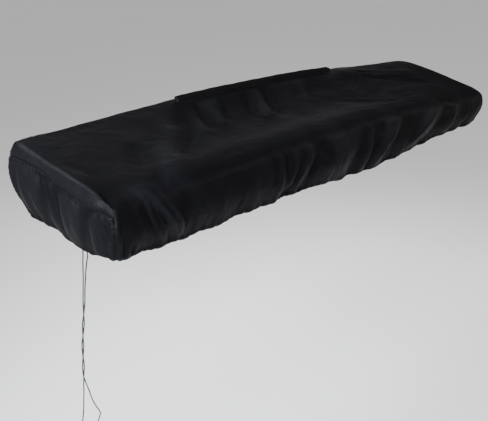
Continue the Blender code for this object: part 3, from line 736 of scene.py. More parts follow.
@dataclass(frozen=True)
class BraidFinish:
    """Black braided cord, a little fuzzy."""

    dark: tuple = (0.004, 0.004, 0.0045)
    light: tuple = (0.016, 0.016, 0.017)
    roughness: float = 0.72
    specular: float = 0.3
    sheen: float = 0.05
    fuzz_scale: float = 3200
    fuzz_depth: float = 0.0001

    def material(self) -> bpy.types.Material:
        """Makes the finish: painted shade darkens the grooves between strands, a painted highlight lightens
        their crests, and a fine noise roughens them.
        """
        graph = Graph("braided_cord", self.dark, self.roughness, Specular_IOR_Level=self.specular,
                      Sheen_Weight=self.sheen)
        # Painted shade in the grooves between strands, painted highlight on the strands' crests.
        graph.tint(graph.attribute(CREST).within(0.0, 1.0), self.dark, self.light)
        graph.bump(graph.noise(graph.object_place(), self.fuzz_scale), self.fuzz_depth)
        return graph.material


@dataclass(frozen=True)
class FloorFinish:
    """A pale, dull studio floor."""

    low: tuple = (0.90, 0.90, 0.90)
    high: tuple = (0.93, 0.93, 0.93)
    roughness: float = 0.9
    specular: float = 0.1
    cloud_scale: float = 0.6

    def material(self) -> bpy.types.Material:
        """Makes the finish, with a faint unevenness of tone."""
        graph = Graph("pale_floor", self.low, self.roughness, Specular_IOR_Level=self.specular)
        graph.tint(graph.noise(graph.object_place(), self.cloud_scale, 2), self.low, self.high)
        return graph.material


@dataclass(frozen=True)
class Rows:
    """How many rows the skirt has in each stage on its way down, and how they crowd to the seam."""

    roll: int = 6
    drop: int = 4
    face: int = 26
    hem: int = 6
    tuck: int = 4
    drop_crowding: float = 1.5
    face_crowding: float = 1.25

    @property
    def seam(self) -> int:
        """The row that the end seam runs along, counted from the ridge."""
        return self.roll + self.drop

    @property
    def lowest(self) -> int:
        """The row along the hem's lowest line."""
        return self.seam + self.face + self.hem

    @property
    def last(self) -> int:
        """The hem channel's inner edge."""
        return self.lowest + self.tuck

    @property
    def even_share(self) -> float:
        """How far down the face the seam's row lies where there is no seam."""
        return self.drop / (self.drop + self.face)


@dataclass
class Places:
    """Places round the top's edge: their columns' x, their rows' y, and what edge each is on."""

    x: Array
    y: Array
    at_end: Array
    at_side: Array


@dataclass
class Surface:
    """The cover's outer face, or a stretch of it, as points with what the folds need to know.

    Fields hold one value for each point: place on the cloth, height above the hem's roll, share of the
    way down, run along the hem, distance from the end seam and from the corner seams, and how much it is
    on the strip between ridge and seam.
    """

    points: Array
    cloth: Array
    rise: Array
    down: Array
    run: Array
    seam: Array
    corner: Array
    strip: Array


@dataclass(frozen=True)
class CoverForm:
    """The cover's form without folds: a wedge-shaped top, rolled edges, a skirt and a turned-under hem."""

    length: float = 1.36
    depth: float = 0.286
    end_roll: float = 0.009
    front_roll: float = 0.028
    back_roll: float = 0.012
    hem_roll: float = 0.010
    hem_tuck: float = 0.024
    hem_rise: float = 0.004
    seam_fade: float = 0.060
    corner_pull: int = 6
    corner_round: float = 0.012
    crowding: float = 0.12
    inset_power: float = 1.5
    padded_at_roll: float = 0.25
    slope_step: float = 0.004
    roll_angles: tuple = (-0.6, 0.9, 40)
    slot_left: float = -0.290
    slot_right: float = 0.268
    slot_front: float = 0.112
    slot_back: float = 0.125

    def top_height(self, x: Array, y: Array) -> Array:
        """Reads the height of the top's outer face: along each section's curve, then across them.

        Args:
            x: Places along the length.
            y: Places across the depth.

        Returns:
            One height for each place.
        """
        at_depths = [column_of(TOP_SECTIONS, k + 1, x) for k in range(len(TOP_DEPTHS))]
        return smooth(np.array(TOP_DEPTHS) * MM, np.array(at_depths), y)

    def roll_start(self, x: Array, y: Array) -> Array:
        """Finds the angle at which an edge's roll starts, so that it goes on at the top's slope.

        A roll that runs from angle a to a quarter turn, fitted into its width and drop, starts with the
        slope tan a (1 - sin a) / cos a. The angle is read back from that formula.

        Args:
            x: Places along the length.
            y: The ridge's place across the depth, or nothing at the ends.

        Returns:
            One angle for each place.
        """
        inside = y - np.sign(y) * self.slope_step
        slope = (self.top_height(x, inside) - self.top_height(x, y)) / self.slope_step
        angle = np.linspace(*self.roll_angles)
        return np.interp(slope, np.tan(angle) * (1 - np.sin(angle)) / np.cos(angle), angle)

    def columns(self, count: int) -> Array:
        """Spreads columns along the length, closer near the ends, with even ones on the slot's ends."""
        t = np.linspace(-1, 1, count + 1)
        x = self.length / 2 * (t * (1 + self.crowding) - self.crowding * t ** 3)
        for end in (self.slot_left, self.slot_right):
            x[2 * np.argmin(abs(x[::2] - end))] = end
        return x

    def across(self, front: int, slot: int, back: int) -> Array:
        """Spreads the top's rows in front of the slot, over it and behind it."""
        half = self.depth / 2
        first = np.linspace(self.front_roll - half, self.slot_front, front + 1)
        middle = np.linspace(self.slot_front, self.slot_back, slot + 1)[1:]
        last = np.linspace(self.slot_back, half - self.back_roll, back + 1)[1:]
        return np.concatenate([first, middle, last])

    def run_along_hem(self, x: Array, y: Array) -> Array:
        """Gives how far round the hem a place is: from the left front corner along the front, and on."""
        half_x, half_y = self.length / 2, self.depth / 2
        out = np.stack([-y - half_y, x - half_x, y - half_y, -x - half_x])
        side = np.argmax(out, axis=0)
        runs = np.stack([x + half_x, self.length + y + half_y, self.length + self.depth + half_x - x,
                         2 * self.length + self.depth + half_y - y])
        return np.take_along_axis(runs, side[None], 0)[0]

    def skirt(self, places: Places, rows: Rows) -> Surface:
        """Works out the skirt below the top's edge: one row of points after another, ridge first.

        A row's distance out and its height come from its stage. The roll goes on from the top's slope to
        the upright along part of an ellipse. The upright corners are arcs in plan, half on each side. The
        face falls straight, with a bulge of sine form and an inset that grows to the hem. The hem is a
        quarter circle, and the channel runs in from it, rising a little.

        Args:
            places: Where round the top's edge the points lie.
            rows: The rows of each stage.

        Returns:
            The points, row by row, and what is known of each.
        """
        half_x, half_y = self.length / 2, self.depth / 2
        x, y = places.x, places.y
        at_end, at_side = places.at_end, places.at_side
        roll_y = np.where(y < 0, self.front_roll, self.back_roll)
        share_x, share_y = x / half_x, y / (half_y - roll_y)
        place_y = share_y * half_y

        def read(k: int) -> tuple[Array, Array]:
            """Reads a station column for the end and for the side of each place."""
            end = np.where(x < 0, column_of(LEFT_SKIRT, k, place_y), column_of(RIGHT_SKIRT, k, place_y))
            side = np.where(place_y < 0, column_of(FRONT_SKIRT, k, x), column_of(BACK_SKIRT, k, x))
            return end, side

        (end_hem, side_hem), (end_inset, side_inset), (end_bulge, side_bulge) = read(1), read(2), read(3)
        hem = np.where(at_side, side_hem, end_hem)
        ridge_x = np.where(at_end, np.sign(x) * (half_x - self.end_roll), x)
        ridge = self.top_height(ridge_x, np.where(at_side, np.sign(y) * (half_y - roll_y), y))
        inland = np.where(at_end, 0, fade(half_x - abs(x), self.seam_fade))
        roll_v = self.end_roll + (roll_y - self.end_roll) * inland
        seam = np.where(x < 0, column_of(END_SEAM, 1, place_y), column_of(END_SEAM, 2, place_y))
        first = (ridge - roll_v - seam) / (ridge - roll_v - hem - self.hem_roll)
        first = first + (rows.even_share - first) * inland
        pull = np.where(at_end, 1, abs(share_x) ** self.corner_pull)
        roll_end, face_end = ridge - roll_v, hem + self.hem_roll
        zero = np.zeros_like(x)

        near = np.where(at_side, half_x - abs(x), half_y * (1 - abs(share_y)))
        turn = math.pi / 4 * (1 - np.clip(near / self.corner_round, 0, 1))
        back_off = self.corner_round * (1 - np.cos(turn))
        closer = self.corner_round * np.sin(turn) - np.clip(self.corner_round - near, 0, None)
        round_x = np.sign(x) * np.where(at_side, closer, -back_off)
        round_y = np.sign(y) * np.where(at_side, -back_off, closer)

        def place(out_x: Array, out_y: Array, height: Array, rounded: Array | float = 1) -> Array:
            """Turns distances out from the top edge's outline into points, with the corners rounded."""
            px = np.where(at_end, np.sign(x) * half_x, x) + np.sign(x) * pull * out_x + round_x * rounded
            return np.stack([px, share_y * (half_y + out_y) + round_y * rounded, height + zero], -1)

        points, down, rise, strip = [], [], [], []
        ridge_y = np.where(at_side, np.sign(y) * (half_y - roll_y), 0)
        lean = self.roll_start(ridge_x, ridge_y) * at_side * inland
        for k in range(rows.last + 1):
            if k <= rows.roll:
                angle = lean + (math.pi / 2 - lean) * k / rows.roll
                inward = 1 - (np.sin(angle) - np.sin(lean)) / (1 - np.sin(lean))
                points.append(place(-self.end_roll * inward, -roll_y * inward,
                                    ridge - roll_v * (1 - np.cos(angle) / np.cos(lean)), 1 - inward))
                down.append(zero)
                strip.append(zero + self.padded_at_roll * k / rows.roll)
            elif k <= rows.seam + rows.face:
                step = (k - rows.roll) / rows.drop
                if step <= 1:
                    share = first * (1 - (1 - step) ** rows.drop_crowding)
                    strip.append(zero + self.padded_at_roll + (1 - self.padded_at_roll) * step)
                else:
                    step = ((k - rows.seam) / rows.face) ** rows.face_crowding
                    share = first + (1 - first) * step
                    strip.append(zero + 1)
                bow, lean_in = np.sin(math.pi * share), share ** self.inset_power
                points.append(place(end_bulge * bow - end_inset * lean_in,
                                    side_bulge * bow - side_inset * lean_in,
                                    roll_end + (face_end - roll_end) * share))
                down.append(share)
            else:
                angle = math.pi / 2 * min(1, (k - rows.seam - rows.face) / rows.hem)
                tuck = max(0, k - rows.lowest) / rows.tuck
                inward = self.hem_roll * (1 - math.cos(angle)) + self.hem_tuck * tuck
                points.append(place(-end_inset - inward, -side_inset - inward,
                                    hem + self.hem_roll * (1 - math.sin(angle)) + self.hem_rise * tuck))
                down.append(zero + 1)
                strip.append(zero + 1)
            rise.append(np.maximum(0, points[-1][:, 2] - face_end))

        points = np.array(points)
        steps = np.linalg.norm(np.diff(points, axis=0), axis=2)
        arc = np.concatenate([np.zeros((1, len(x))), np.cumsum(steps, axis=0)])
        along_side = np.stack([x + 0 * arc, np.sign(y) * (half_y - roll_y + arc)], -1)
        along_end = np.stack([np.sign(x) * (half_x - self.end_roll + arc), place_y + 0 * arc], -1)
        cloth = np.where(at_side[None, :, None], along_side, along_end)

        below = np.arange(rows.last + 1)[:, None] >= rows.seam
        seam_gap = np.where(at_end[None], points[:, :, 2] - seam, FAR)
        corners = np.flatnonzero(at_end & at_side)
        to_corner = np.linalg.norm(points[:, :, None, :2] - points[:, None, corners, :2], axis=3).min(axis=2)
        corner_gap = np.where(below, to_corner, FAR)
        strips = np.array(strip) * np.where(at_end, 1, 1 - inland)
        run = self.run_along_hem(np.where(at_end, np.sign(x) * half_x, x), place_y) + 0 * arc
        known = [np.array(values).reshape(-1) for values in (rise, down, run, seam_gap, corner_gap, strips)]
        return Surface(points.reshape(-1, 3), cloth.reshape(-1, 2), *known)


@dataclass(frozen=True)
class HemGathers:
    """The small pleats that the drawcord pulls into the hem. They lean, and die away up the face."""

    spacing: Place = (0.012, 0.030)
    reach: Place = (0.020, 0.070)
    width: Place = (0.0035, 0.0070)
    depth: Place = (0.0008, 0.0026)
    lean: Place = (-0.45, 0.45)
    dying: float = 1.5
    trough_power: float = 1.6
    shoulder: float = 0.45
    shoulder_width: float = 2.1
    calm: float = 0.030
    seed: int = 11

    def height(self, run: Array, rise: Array, length: float, calm_at: float) -> Array:
        """Adds up the pleats.

        A pleat's height is its depth, times how much is left of it at that rise, times a trough with
        raised shoulders across the run.

        Args:
            run: How far round the hem each point is.
            rise: How far above the hem's roll it is.
            length: The hem's whole run.
            calm_at: The run round which the hem lies flat, where the cord comes out.

        Returns:
            A height for each point.
        """
        rng = np.random.default_rng(self.seed)
        count = int(length / (sum(self.spacing) / 2))
        gaps = rng.uniform(*self.spacing, count)
        at = np.cumsum(gaps) * length / gaps.sum()
        height = np.zeros_like(run)
        sizes = (self.reach, self.width, self.depth, self.lean)
        for middle in at:
            reach, width, depth, lean = (rng.uniform(*pair) for pair in sizes)
            off = (run - middle - lean * rise + length / 2) % length - length / 2
            near = abs(off) < 5 * width
            left = np.clip(1 - rise[near] / reach, 0, 1) ** self.dying
            across = off[near] / width
            shoulders = self.shoulder * np.exp(-(across / self.shoulder_width) ** 2)
            height[near] -= depth * left * (np.exp(-abs(across) ** self.trough_power) - shoulders)
        return height * fade(abs(run - calm_at), self.calm)


@dataclass(frozen=True)
class Unevenness:
    """The faint unevenness of thin nylon that is stretched over nothing: many weak waves at all angles."""

    count: int = 40
    lengths: Place = (0.024, 0.120)
    slope: float = 0.011
    seed: int = 5

    def height(self, points: Array) -> Array:
        """Adds up plane waves, each as high as keeps its slope the same.

        Args:
            points: Rows of x, y, z.

        Returns:
            A height for each point.
        """
        rng = np.random.default_rng(self.seed)
        height = np.zeros(len(points))
        for _ in range(self.count):
            length = rng.uniform(*self.lengths)
            toward = rng.normal(size=3)
            toward *= 2 * math.pi / length / np.linalg.norm(toward)
            phase = rng.uniform(0, 2 * math.pi)
            height += self.slope * length / (2 * math.pi) * np.sin(points @ toward + phase)
        return height


@dataclass(frozen=True)
class ClothRelief:
    """Everything that stands out of or sinks into the cover's plain form."""

    form: CoverForm
    gathers: HemGathers = HemGathers()
    unevenness: Unevenness = Unevenness()
    fold_spread: float = 0.6
    ease: dict = field(default_factory=lambda: {Face.LEFT: 2.0, Face.FRONT: 1.6})
    crease_power: float = 1.4
    crease_shoulder: float = 0.35
    shoulder_width: float = 2.4
    crease_over: float = 0.15
    crease_ends: float = 0.45
    uneven_share: float = 0.6
    flat_at_slot: float = 0.030
    top_above: float = 0.050
    ripples: tuple = ((41, 0.0014, 0.7), (25, 0.0011, 2.1), (53, 0.0008, 4.0))
    ripple_shares: tuple = (0, 0.1, 0.25, 0.5, 0.8)
    ripple_downs: tuple = (0, 0.25, 0.5, 0.75, 1)
    swells: tuple = (((-0.680, -0.143, 0.098), -0.0060, 0.030), ((-0.598, -0.130, 0.102), 0.0045, 0.028),
                     ((0.680, -0.143, 0.090), -0.0040, 0.022), ((-0.680, 0.143, 0.150), -0.0030, 0.018),
                     ((0.680, 0.143, 0.148), -0.0030, 0.018), ((-0.690, 0.125, 0.095), 0.0085, 0.062))
    cord_at: Place = (-0.660, -0.033)
    cord_calm: float = 0.035
    hem_calm_aside: float = 0.02
    seam_depth: float = 0.0022
    corner_depth: float = 0.0010
    seam_reach: float = 0.0028
    seam_hold: float = 0.35
    seam_free: float = 0.015
    pucker: float = 0.0003
    pucker_pitch: float = 0.0105
    pucker_reach: float = 0.0045
    pucker_drift: float = 83
    pucker_swing: float = 3
    bead_end: float = 0.050
    bead_at: tuple = (-0.14, 0.0, 0.05, 0.14)
    beads: tuple = ((0.0062, 0.0058, 0.0036, 0.0044), (0.0030, 0.0028, 0.0026, 0.0024))

    def folds(self, face: Face, a: Array, b: Array) -> Array:
        """Adds up a face's main folds.

        Each falls off as a bell with the distance from its line. On the left end and the front, the flank
        that faces the left front corner is the broader one.

        Args:
            face: Which face's folds.
            a: The points' first table coordinate.
            b: Their second.

        Returns:
            A height for each point.
        """
        height = np.zeros_like(a)
        for a0, b0, a1, b1, width, depth in np.array(MAIN_FOLDS[face]) * MM:
            along = np.array((a1 - a0, b1 - b0))
            t = np.clip(((a - a0) * along[0] + (b - b0) * along[1]) / (along @ along), 0, 1)
            distance = np.hypot(a - a0 - t * along[0], b - b0 - t * along[1])
            side = (b - b0) * along[0] - (a - a0) * along[1]
            reach = self.fold_spread * width * np.where(side * depth < 0, self.ease.get(face, 1), 1)
            height += depth * np.exp(-(distance / reach) ** 2)
        return height

    def creases(self, face: Face, a: Array, b: Array) -> Array:
        """Adds up a face's pinched creases.

        Across its bowed line a crease is a narrow pointed peak, less a broader bell that gives it
        shoulders. Its flanks differ as those of a main fold do. Along the line the crease rises and dies
        away smoothly.

        Args:
            face: Which face's creases.
            a: The points' first table coordinate.
            b: Their second.

        Returns:
            A height for each point.
        """
        height = np.zeros_like(a)
        for a0, b0, a1, b1, width, depth, bow in np.array(CREASES[face]) * MM:
            length = math.hypot(a1 - a0, b1 - b0)
            along = ((a1 - a0) / length, (b1 - b0) / length)
            t = ((a - a0) * along[0] + (b - b0) * along[1]) / length
            off = (b - b0) * along[0] - (a - a0) * along[1]
            off = (off - 4 * bow * np.clip(t * (1 - t), 0, 1)) / width
            off /= np.where(off * depth < 0, self.ease.get(face, 1), 1)
            over = self.crease_over
            ends = fade(t + over, self.crease_ends) * fade(1 + over - t, self.crease_ends)
            shoulders = self.crease_shoulder * np.exp(-(off / self.shoulder_width) ** 2)
            height += depth * ends * (np.exp(-abs(off) ** self.crease_power) - shoulders)
        return height

    def height(self, surface: Surface, normals: Array) -> Array:
        """Adds up all relief over a surface.

        Args:
            surface: The plain form.
            normals: Its unit normals.

        Returns:
            How far each point is pushed along its normal.
        """
        points = surface.points
        x, y, z = points.T
        off_slot = np.hypot(np.maximum(0, np.maximum(self.form.slot_left - x, x - self.form.slot_right)),
                            np.maximum(0, np.maximum(self.form.slot_front - y, y - self.form.slot_back)))
        calm = fade(off_slot, self.flat_at_slot)
        push = self.uneven_share * self.unevenness.height(points) * calm
        for place, swell, reach in self.swells:
            push += swell * np.exp(-(np.linalg.norm(points - place, axis=1) / reach) ** 2)
        for face in Face:
            one, two, axis, sign = face.value
            faces = np.clip(sign * normals[:, axis], 0, 1) ** 2
            if face is Face.TOP:
                faces = np.where(z > self.top_above, faces, 0)
            relief = self.folds(face, points[:, one], points[:, two])
            relief += self.creases(face, points[:, one], points[:, two])
            below = -surface.seam if face in (Face.LEFT, Face.RIGHT) else abs(surface.seam)
            free = np.where(surface.seam < FAR, fade(below, self.seam_free), 1)
            push += faces * relief * calm * (self.seam_hold + (1 - self.seam_hold) * free)

        total = 2 * (self.form.length + self.form.depth)
        turn = 2 * math.pi * surface.run / total
        share = np.interp(surface.down, self.ripple_downs, self.ripple_shares)
        ripple = sum(height * np.sin(waves * turn + phase) for waves, height, phase in self.ripples)
        push += share * ripple * fade(np.hypot(x - self.cord_at[0], y - self.cord_at[1]), self.cord_calm)

        skirt = surface.down > 0
        cord_x, cord_y = np.array(self.cord_at)[:, None]
        calm_at = self.form.run_along_hem(cord_x - self.hem_calm_aside, cord_y)[0]
        push[skirt] += self.gathers.height(surface.run[skirt], surface.rise[skirt], total, calm_at)

        seam = abs(surface.seam)
        for gap, along, depth in ((seam, y, self.seam_depth), (surface.corner, z, self.corner_depth)):
            push -= depth * np.exp(-(gap / self.seam_reach) ** 2)
            drift = self.pucker_swing * (np.sin(along * self.pucker_drift) + (x > 0))
            wave = self.pucker * np.sin(2 * math.pi * along / self.pucker_pitch + drift)
            push += wave * gap / self.pucker_reach * np.exp(1 - gap / self.pucker_reach) * (gap < FAR)
        bead = np.where(x < 0, *(np.interp(y, self.bead_at, heights) for heights in self.beads))
        push += bead * np.sin(math.pi * surface.strip) * fade(self.form.depth / 2 - abs(y), self.bead_end)
        return push


@dataclass(frozen=True)
class ThinCloth:
    """Turns a relief surface into a closed sheet. Its inside is divided half as finely as its outside."""

    thickness: float = 0.0009
    hem_thickness: float = 0.0018
    edge_overlap: float = 0.00008
    crest_height: float = 0.0030
    hem_gather: float = 0.030
    seam_gather: float = 0.022
    seam_share: float = 0.7
    sharp_from: float = math.radians(65)

    def sheet(self, name: str, surface: Surface, normals: Array, push: Array, quads: Array, coarse: Array,
              material: bpy.types.Material) -> bpy.types.Object:
        """Makes the sheet.

        The outer face is the surface pushed along its normals. The inner face lies a thickness below the
        lowest relief near each point, so no narrow trough comes through it. Each edge reaches over its
        seam line by the mitre of its two sides, so that no light shows through a seam.

        Args:
            name: The piece's name.
            surface: The plain form.
            normals: Its unit normals.
            push: The relief.
            quads: The outer quads of this panel.
            coarse: The inner quads, on every second point.
            material: The finish.

        Returns:
            The piece.
        """
        count = len(push)
        outer = surface.points + normals * push[:, None]
        first, second = lone_edges(quads, count)
        following = np.full(count, -1)
        preceding = np.full(count, -1)
        following[first], preceding[second] = second, first
        side = normals[first]
        one = unit(np.cross(side, outer[first] - outer[preceding[first]]))
        two = unit(np.cross(side, outer[second] - outer[first]))
        outer[first] -= self.edge_overlap * (one + two) / (1 + np.sum(one * two, axis=1, keepdims=True))

        low = push.copy()
        for k in range(4):
            np.minimum.at(low, quads[:, k], push[quads].min(axis=1))
        thick = np.where(surface.down >= 1, self.hem_thickness, self.thickness)
        inner = outer + normals * (low - push - thick)[:, None]

        a, c = lone_edges(coarse, count)
        b = following[a]
        used = np.unique(quads)
        inside = np.unique(coarse)
        place = np.full(count, -1)
        place[used] = np.arange(len(used))
        below = np.full(count, -1)
        below[inside] = len(used) + np.arange(len(inside))
        walls = np.concatenate([np.stack([place[b], place[a], below[a]], 1),
                                np.stack([place[b], below[a], below[c]], 1),
                                np.stack([place[c], place[b], below[c]], 1)])
        faces = place[quads].tolist() + below[coarse][:, ::-1].tolist() + walls.tolist()
        obj = add_piece(name, np.concatenate([outer[used], inner[inside]]), faces, material)
        both = np.concatenate([used, inside])
        add_map(obj, CLOTH_MAP, surface.cloth[both])
        add_number(obj, CREST, np.clip(push[both] / self.crest_height, -1, 1))
        gathered = np.maximum(np.exp(-surface.rise / self.hem_gather) * (surface.down > 0),
                              self.seam_share * np.exp(-abs(surface.seam) / self.seam_gather))
        add_number(obj, GATHER, gathered[both])
        obj.data.set_sharp_from_angle(angle=self.sharp_from)
        return obj


class Sewing(Enum):
    """The rows of stitches, by the names of their pieces."""

    ENDS = "end_seam_stitches"
    HEM = "hem_stitches"
    SLOT = "slot_stitches"


@dataclass(frozen=True)
class Stitching:
    """A run of sewing: one small spindle of thread for each stitch, all in one mesh."""

    pitch: float = 0.0040
    length: float = 0.0028
    radius: float = 0.00028
    sides: int = 6
    rings: int = 3

    def points_along(self, line: Array, normals: Array) -> tuple[Array, Array, Array]:
        """Reads a stitch's middle, direction and upward side at each pitch along a line."""
        run = run_of(line)
        at = np.arange(self.pitch / 2, run[-1], self.pitch)
        ahead, behind = (read_along(at + off, run, line) for off in (self.pitch / 4, -self.pitch / 4))
        along = unit(ahead - behind)
        up = read_along(at, run, normals)
        up -= along * np.sum(up * along, axis=1, keepdims=True)
        return read_along(at, run, line), along, unit(up)

    def piece(self, name: str, lines: list[tuple[Array, Array]],
              material: bpy.types.Material) -> bpy.types.Object:
        """Makes the stitches along some lines.

        A stitch's radius follows a half sine from tip to tip, and it lies with a third of it in the cloth.

        Args:
            name: The piece's name.
            lines: The points and normals of each line.
            material: The thread.

        Returns:
            The piece.
        """
        read = [self.points_along(*line) for line in lines]
        middle, along, up = (np.concatenate(part) for part in zip(*read))
        side = np.cross(along, up)
        t = np.arange(1, self.rings + 1) / (self.rings + 1)
        angle = 2 * math.pi * np.arange(self.sides) / self.sides
        radius = (self.radius * np.sin(math.pi * t) ** 0.5)[:, None]
        reach = self.length * (t - 0.5)
        centre = middle + up * self.radius / 3
        ring = (centre[:, None, None] + along[:, None, None] * reach[:, None, None]
                + side[:, None, None] * (radius * np.cos(angle))[..., None]
                + up[:, None, None] * (radius * np.sin(angle))[..., None])
        tips = centre[:, None] + along[:, None] * np.array([-0.5, 0.5])[:, None] * self.length
        points = np.concatenate([ring.reshape(len(centre), -1, 3), tips], axis=1)
        start = points.shape[1] * np.arange(len(centre))[:, None, None]
        faces = sum(((part[:, ::-1] + start).reshape(-1, part.shape[1]).tolist()
                     for part in tube_faces(self.rings, self.sides)), [])
        return add_piece(name, points.reshape(-1, 3), faces, material)


@dataclass
class CoverCloth:
    """The main panel and the two end panels, and the lines along which they are sewn."""

    form: CoverForm
    relief: ClothRelief
    cloth: ThinCloth
    rows: Rows = Rows()
    columns: int = 410
    front_rows: int = 76
    slot_rows: int = 2
    back_rows: int = 2
    end_columns: int = 160
    end_rows: Rows = Rows(face=44, hem=8, tuck=6)
    margin: float = 0.016
    margin_columns: int = 4
    stitches_below: int = 2
    lines: dict[Sewing, list] = field(default_factory=lambda: {sewing: [] for sewing in Sewing})

    def cut(self, panel: Panel, name: str, surface: Surface, normals: Array, quads: Array, coarse: Array,
            material: bpy.types.Material) -> tuple[bpy.types.Object, Array]:
        """Args:
            panel: Which panel.
            name: The piece's name.
            surface: The plain form, which may reach beyond the panel.
            normals: Its unit normals.
            quads: The panel's outer quads.
            coarse: Its inner quads, on every second point.
            material: Its finish.

        Returns:
            The piece, and all points of the surface with their relief.
        """
        push = self.relief.height(surface, normals)
        obj = self.cloth.sheet(name, surface, normals, push, quads, coarse, material)
        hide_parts(panel.value)
        LOG.info("%s: %d faces", obj.name, len(obj.data.polygons))
        return obj, surface.points + normals * push[:, None]

    def main_panel(self, material: bpy.types.Material) -> bpy.types.Object:
        """Cuts the panel that wraps front, top and back out of the whole surface.

        Args:
            material: Its finish.

        Returns:
            The piece.
        """
        form, rows = self.form, self.rows
        x = form.columns(self.columns)
        y = form.across(self.front_rows, self.slot_rows, self.back_rows)
        nx, ny = len(x) - 1, len(y) - 1
        pull = abs(2 * x / form.length) ** form.corner_pull
        top_x, top_y = (part.ravel() for part in grid(x - np.sign(x) * pull * form.end_roll, y))
        top = np.stack([top_x, top_y, form.top_height(top_x, top_y)], -1)

        i = np.concatenate([np.arange(nx), np.full(ny, nx), np.arange(nx, 0, -1), np.zeros(ny, int)])
        j = np.concatenate([np.zeros(nx, int), np.arange(ny), np.full(nx, ny), np.arange(ny, 0, -1)])
        skirt = form.skirt(Places(x[i], y[j], (i == 0) | (i == nx), (j == 0) | (j == ny)), rows)
        size = len(i)
        away, none = np.full(len(top), FAR), np.zeros(len(top))
        on_top = (top, top[:, :2], away, none, none, away, away, none)
        surface = Surface(*(np.concatenate([first, values[size:]])
                            for first, values in zip(on_top, vars(skirt).values())))
        edge = (i * (ny + 1) + j)[None]
        ring = np.concatenate([edge, len(top) + np.arange(rows.last * size).reshape(-1, size)])

        def quads(step: int) -> Array:
            """Lists the quads on every `step`-th point, the slot and the end panels left out."""
            a, b = grid(np.arange(0, nx, step), np.arange(0, ny, step))
            open_slot = ((b >= self.front_rows) & (b < self.front_rows + self.slot_rows)
                         & (x[a] >= form.slot_left) & (x[a] < form.slot_right))
            corner = (a * (ny + 1) + b)[~open_slot]
            over = step * (ny + 1)
            flat = np.stack([corner, corner + over, corner + over + step, corner + step], 1)
            k, s = grid(np.arange(0, rows.last, step), np.arange(0, size, step))
            n = (s + step) % size
            end = ((i[s] == 0) & (i[n] == 0)) | ((i[s] == nx) & (i[n] == nx))
            kept = ~(end & (k >= rows.seam))
            k, s, n = k[kept], s[kept], n[kept]
            down = np.stack([ring[k, s], ring[k + step, s], ring[k + step, n], ring[k, n]], 1)
            return np.concatenate([flat, down])

        fine = quads(1)
        every = np.concatenate([fine, ring.ravel()[quads_between(rows.last + 1, size)]])
        normals = unit_normals(surface.points, np.unique(every, axis=0))
        obj, outer = self.cut(Panel.MAIN, "cover_main_cloth", surface, normals, fine, quads(2), material)
        hem = ring[rows.last - 1]
        self.lines[Sewing.HEM].append((outer[hem], normals[hem]))
        beside_slot = np.flatnonzero((x >= form.slot_left) & (x <= form.slot_right)) * (ny + 1)
        for row in (self.front_rows - 1, self.front_rows + self.slot_rows + 1):
            self.lines[Sewing.SLOT].append((outer[beside_slot + row], normals[beside_slot + row]))
        return obj

    def end_panel(self, panel: Panel, material: bpy.types.Material) -> bpy.types.Object:
        """Cuts an end panel out of a finer stretch of the surface that reaches round both corners.

        Args:
            panel: Which end.
            material: Its finish.

        Returns:
            The piece.
        """
        form, rows, first = self.form, self.end_rows, self.margin_columns
        sign = -1 if panel is Panel.LEFT_END else 1
        half_x, half_y = form.length / 2, form.depth / 2
        low, high = form.front_roll - half_y, half_y - form.back_roll
        beside = half_x - np.arange(first, 0, -1) * self.margin / first
        y = np.linspace(low, high, self.end_columns + 1)
        x = np.concatenate([beside, np.full(len(y), half_x), beside[::-1]]) * sign
        y = np.concatenate([np.full(first, low), y, np.full(first, high)])
        if sign < 0:
            x, y = x[::-1], y[::-1]
        surface = form.skirt(Places(x, y, abs(x) >= half_x, (y == low) | (y == high)), rows)
        size = len(x)

        def quads(step: int, at_rows: Array, at_columns: Array) -> Array:
            """Lists the quads that start at each pair of the given rows and columns."""
            k, s = grid(at_rows, at_columns)
            a = k * size + s
            return np.stack([a, a + step * size, a + step * size + step, a + step], -1).reshape(-1, 4)

        normals = unit_normals(surface.points, quads(1, np.arange(rows.last), np.arange(size - 1)))
        fine, coarse = (quads(step, np.arange(rows.seam, rows.last, step),
                              np.arange(first, first + self.end_columns, step)) for step in (1, 2))
        name = panel.value.replace("panel", "cloth")
        obj, outer = self.cut(panel, name, surface, normals, fine, coarse, material)
        row = (rows.seam + self.stitches_below) * size + np.arange(first + 2, first + self.end_columns - 1)
        self.lines[Sewing.ENDS].append((outer[row], normals[row]))
        return obj


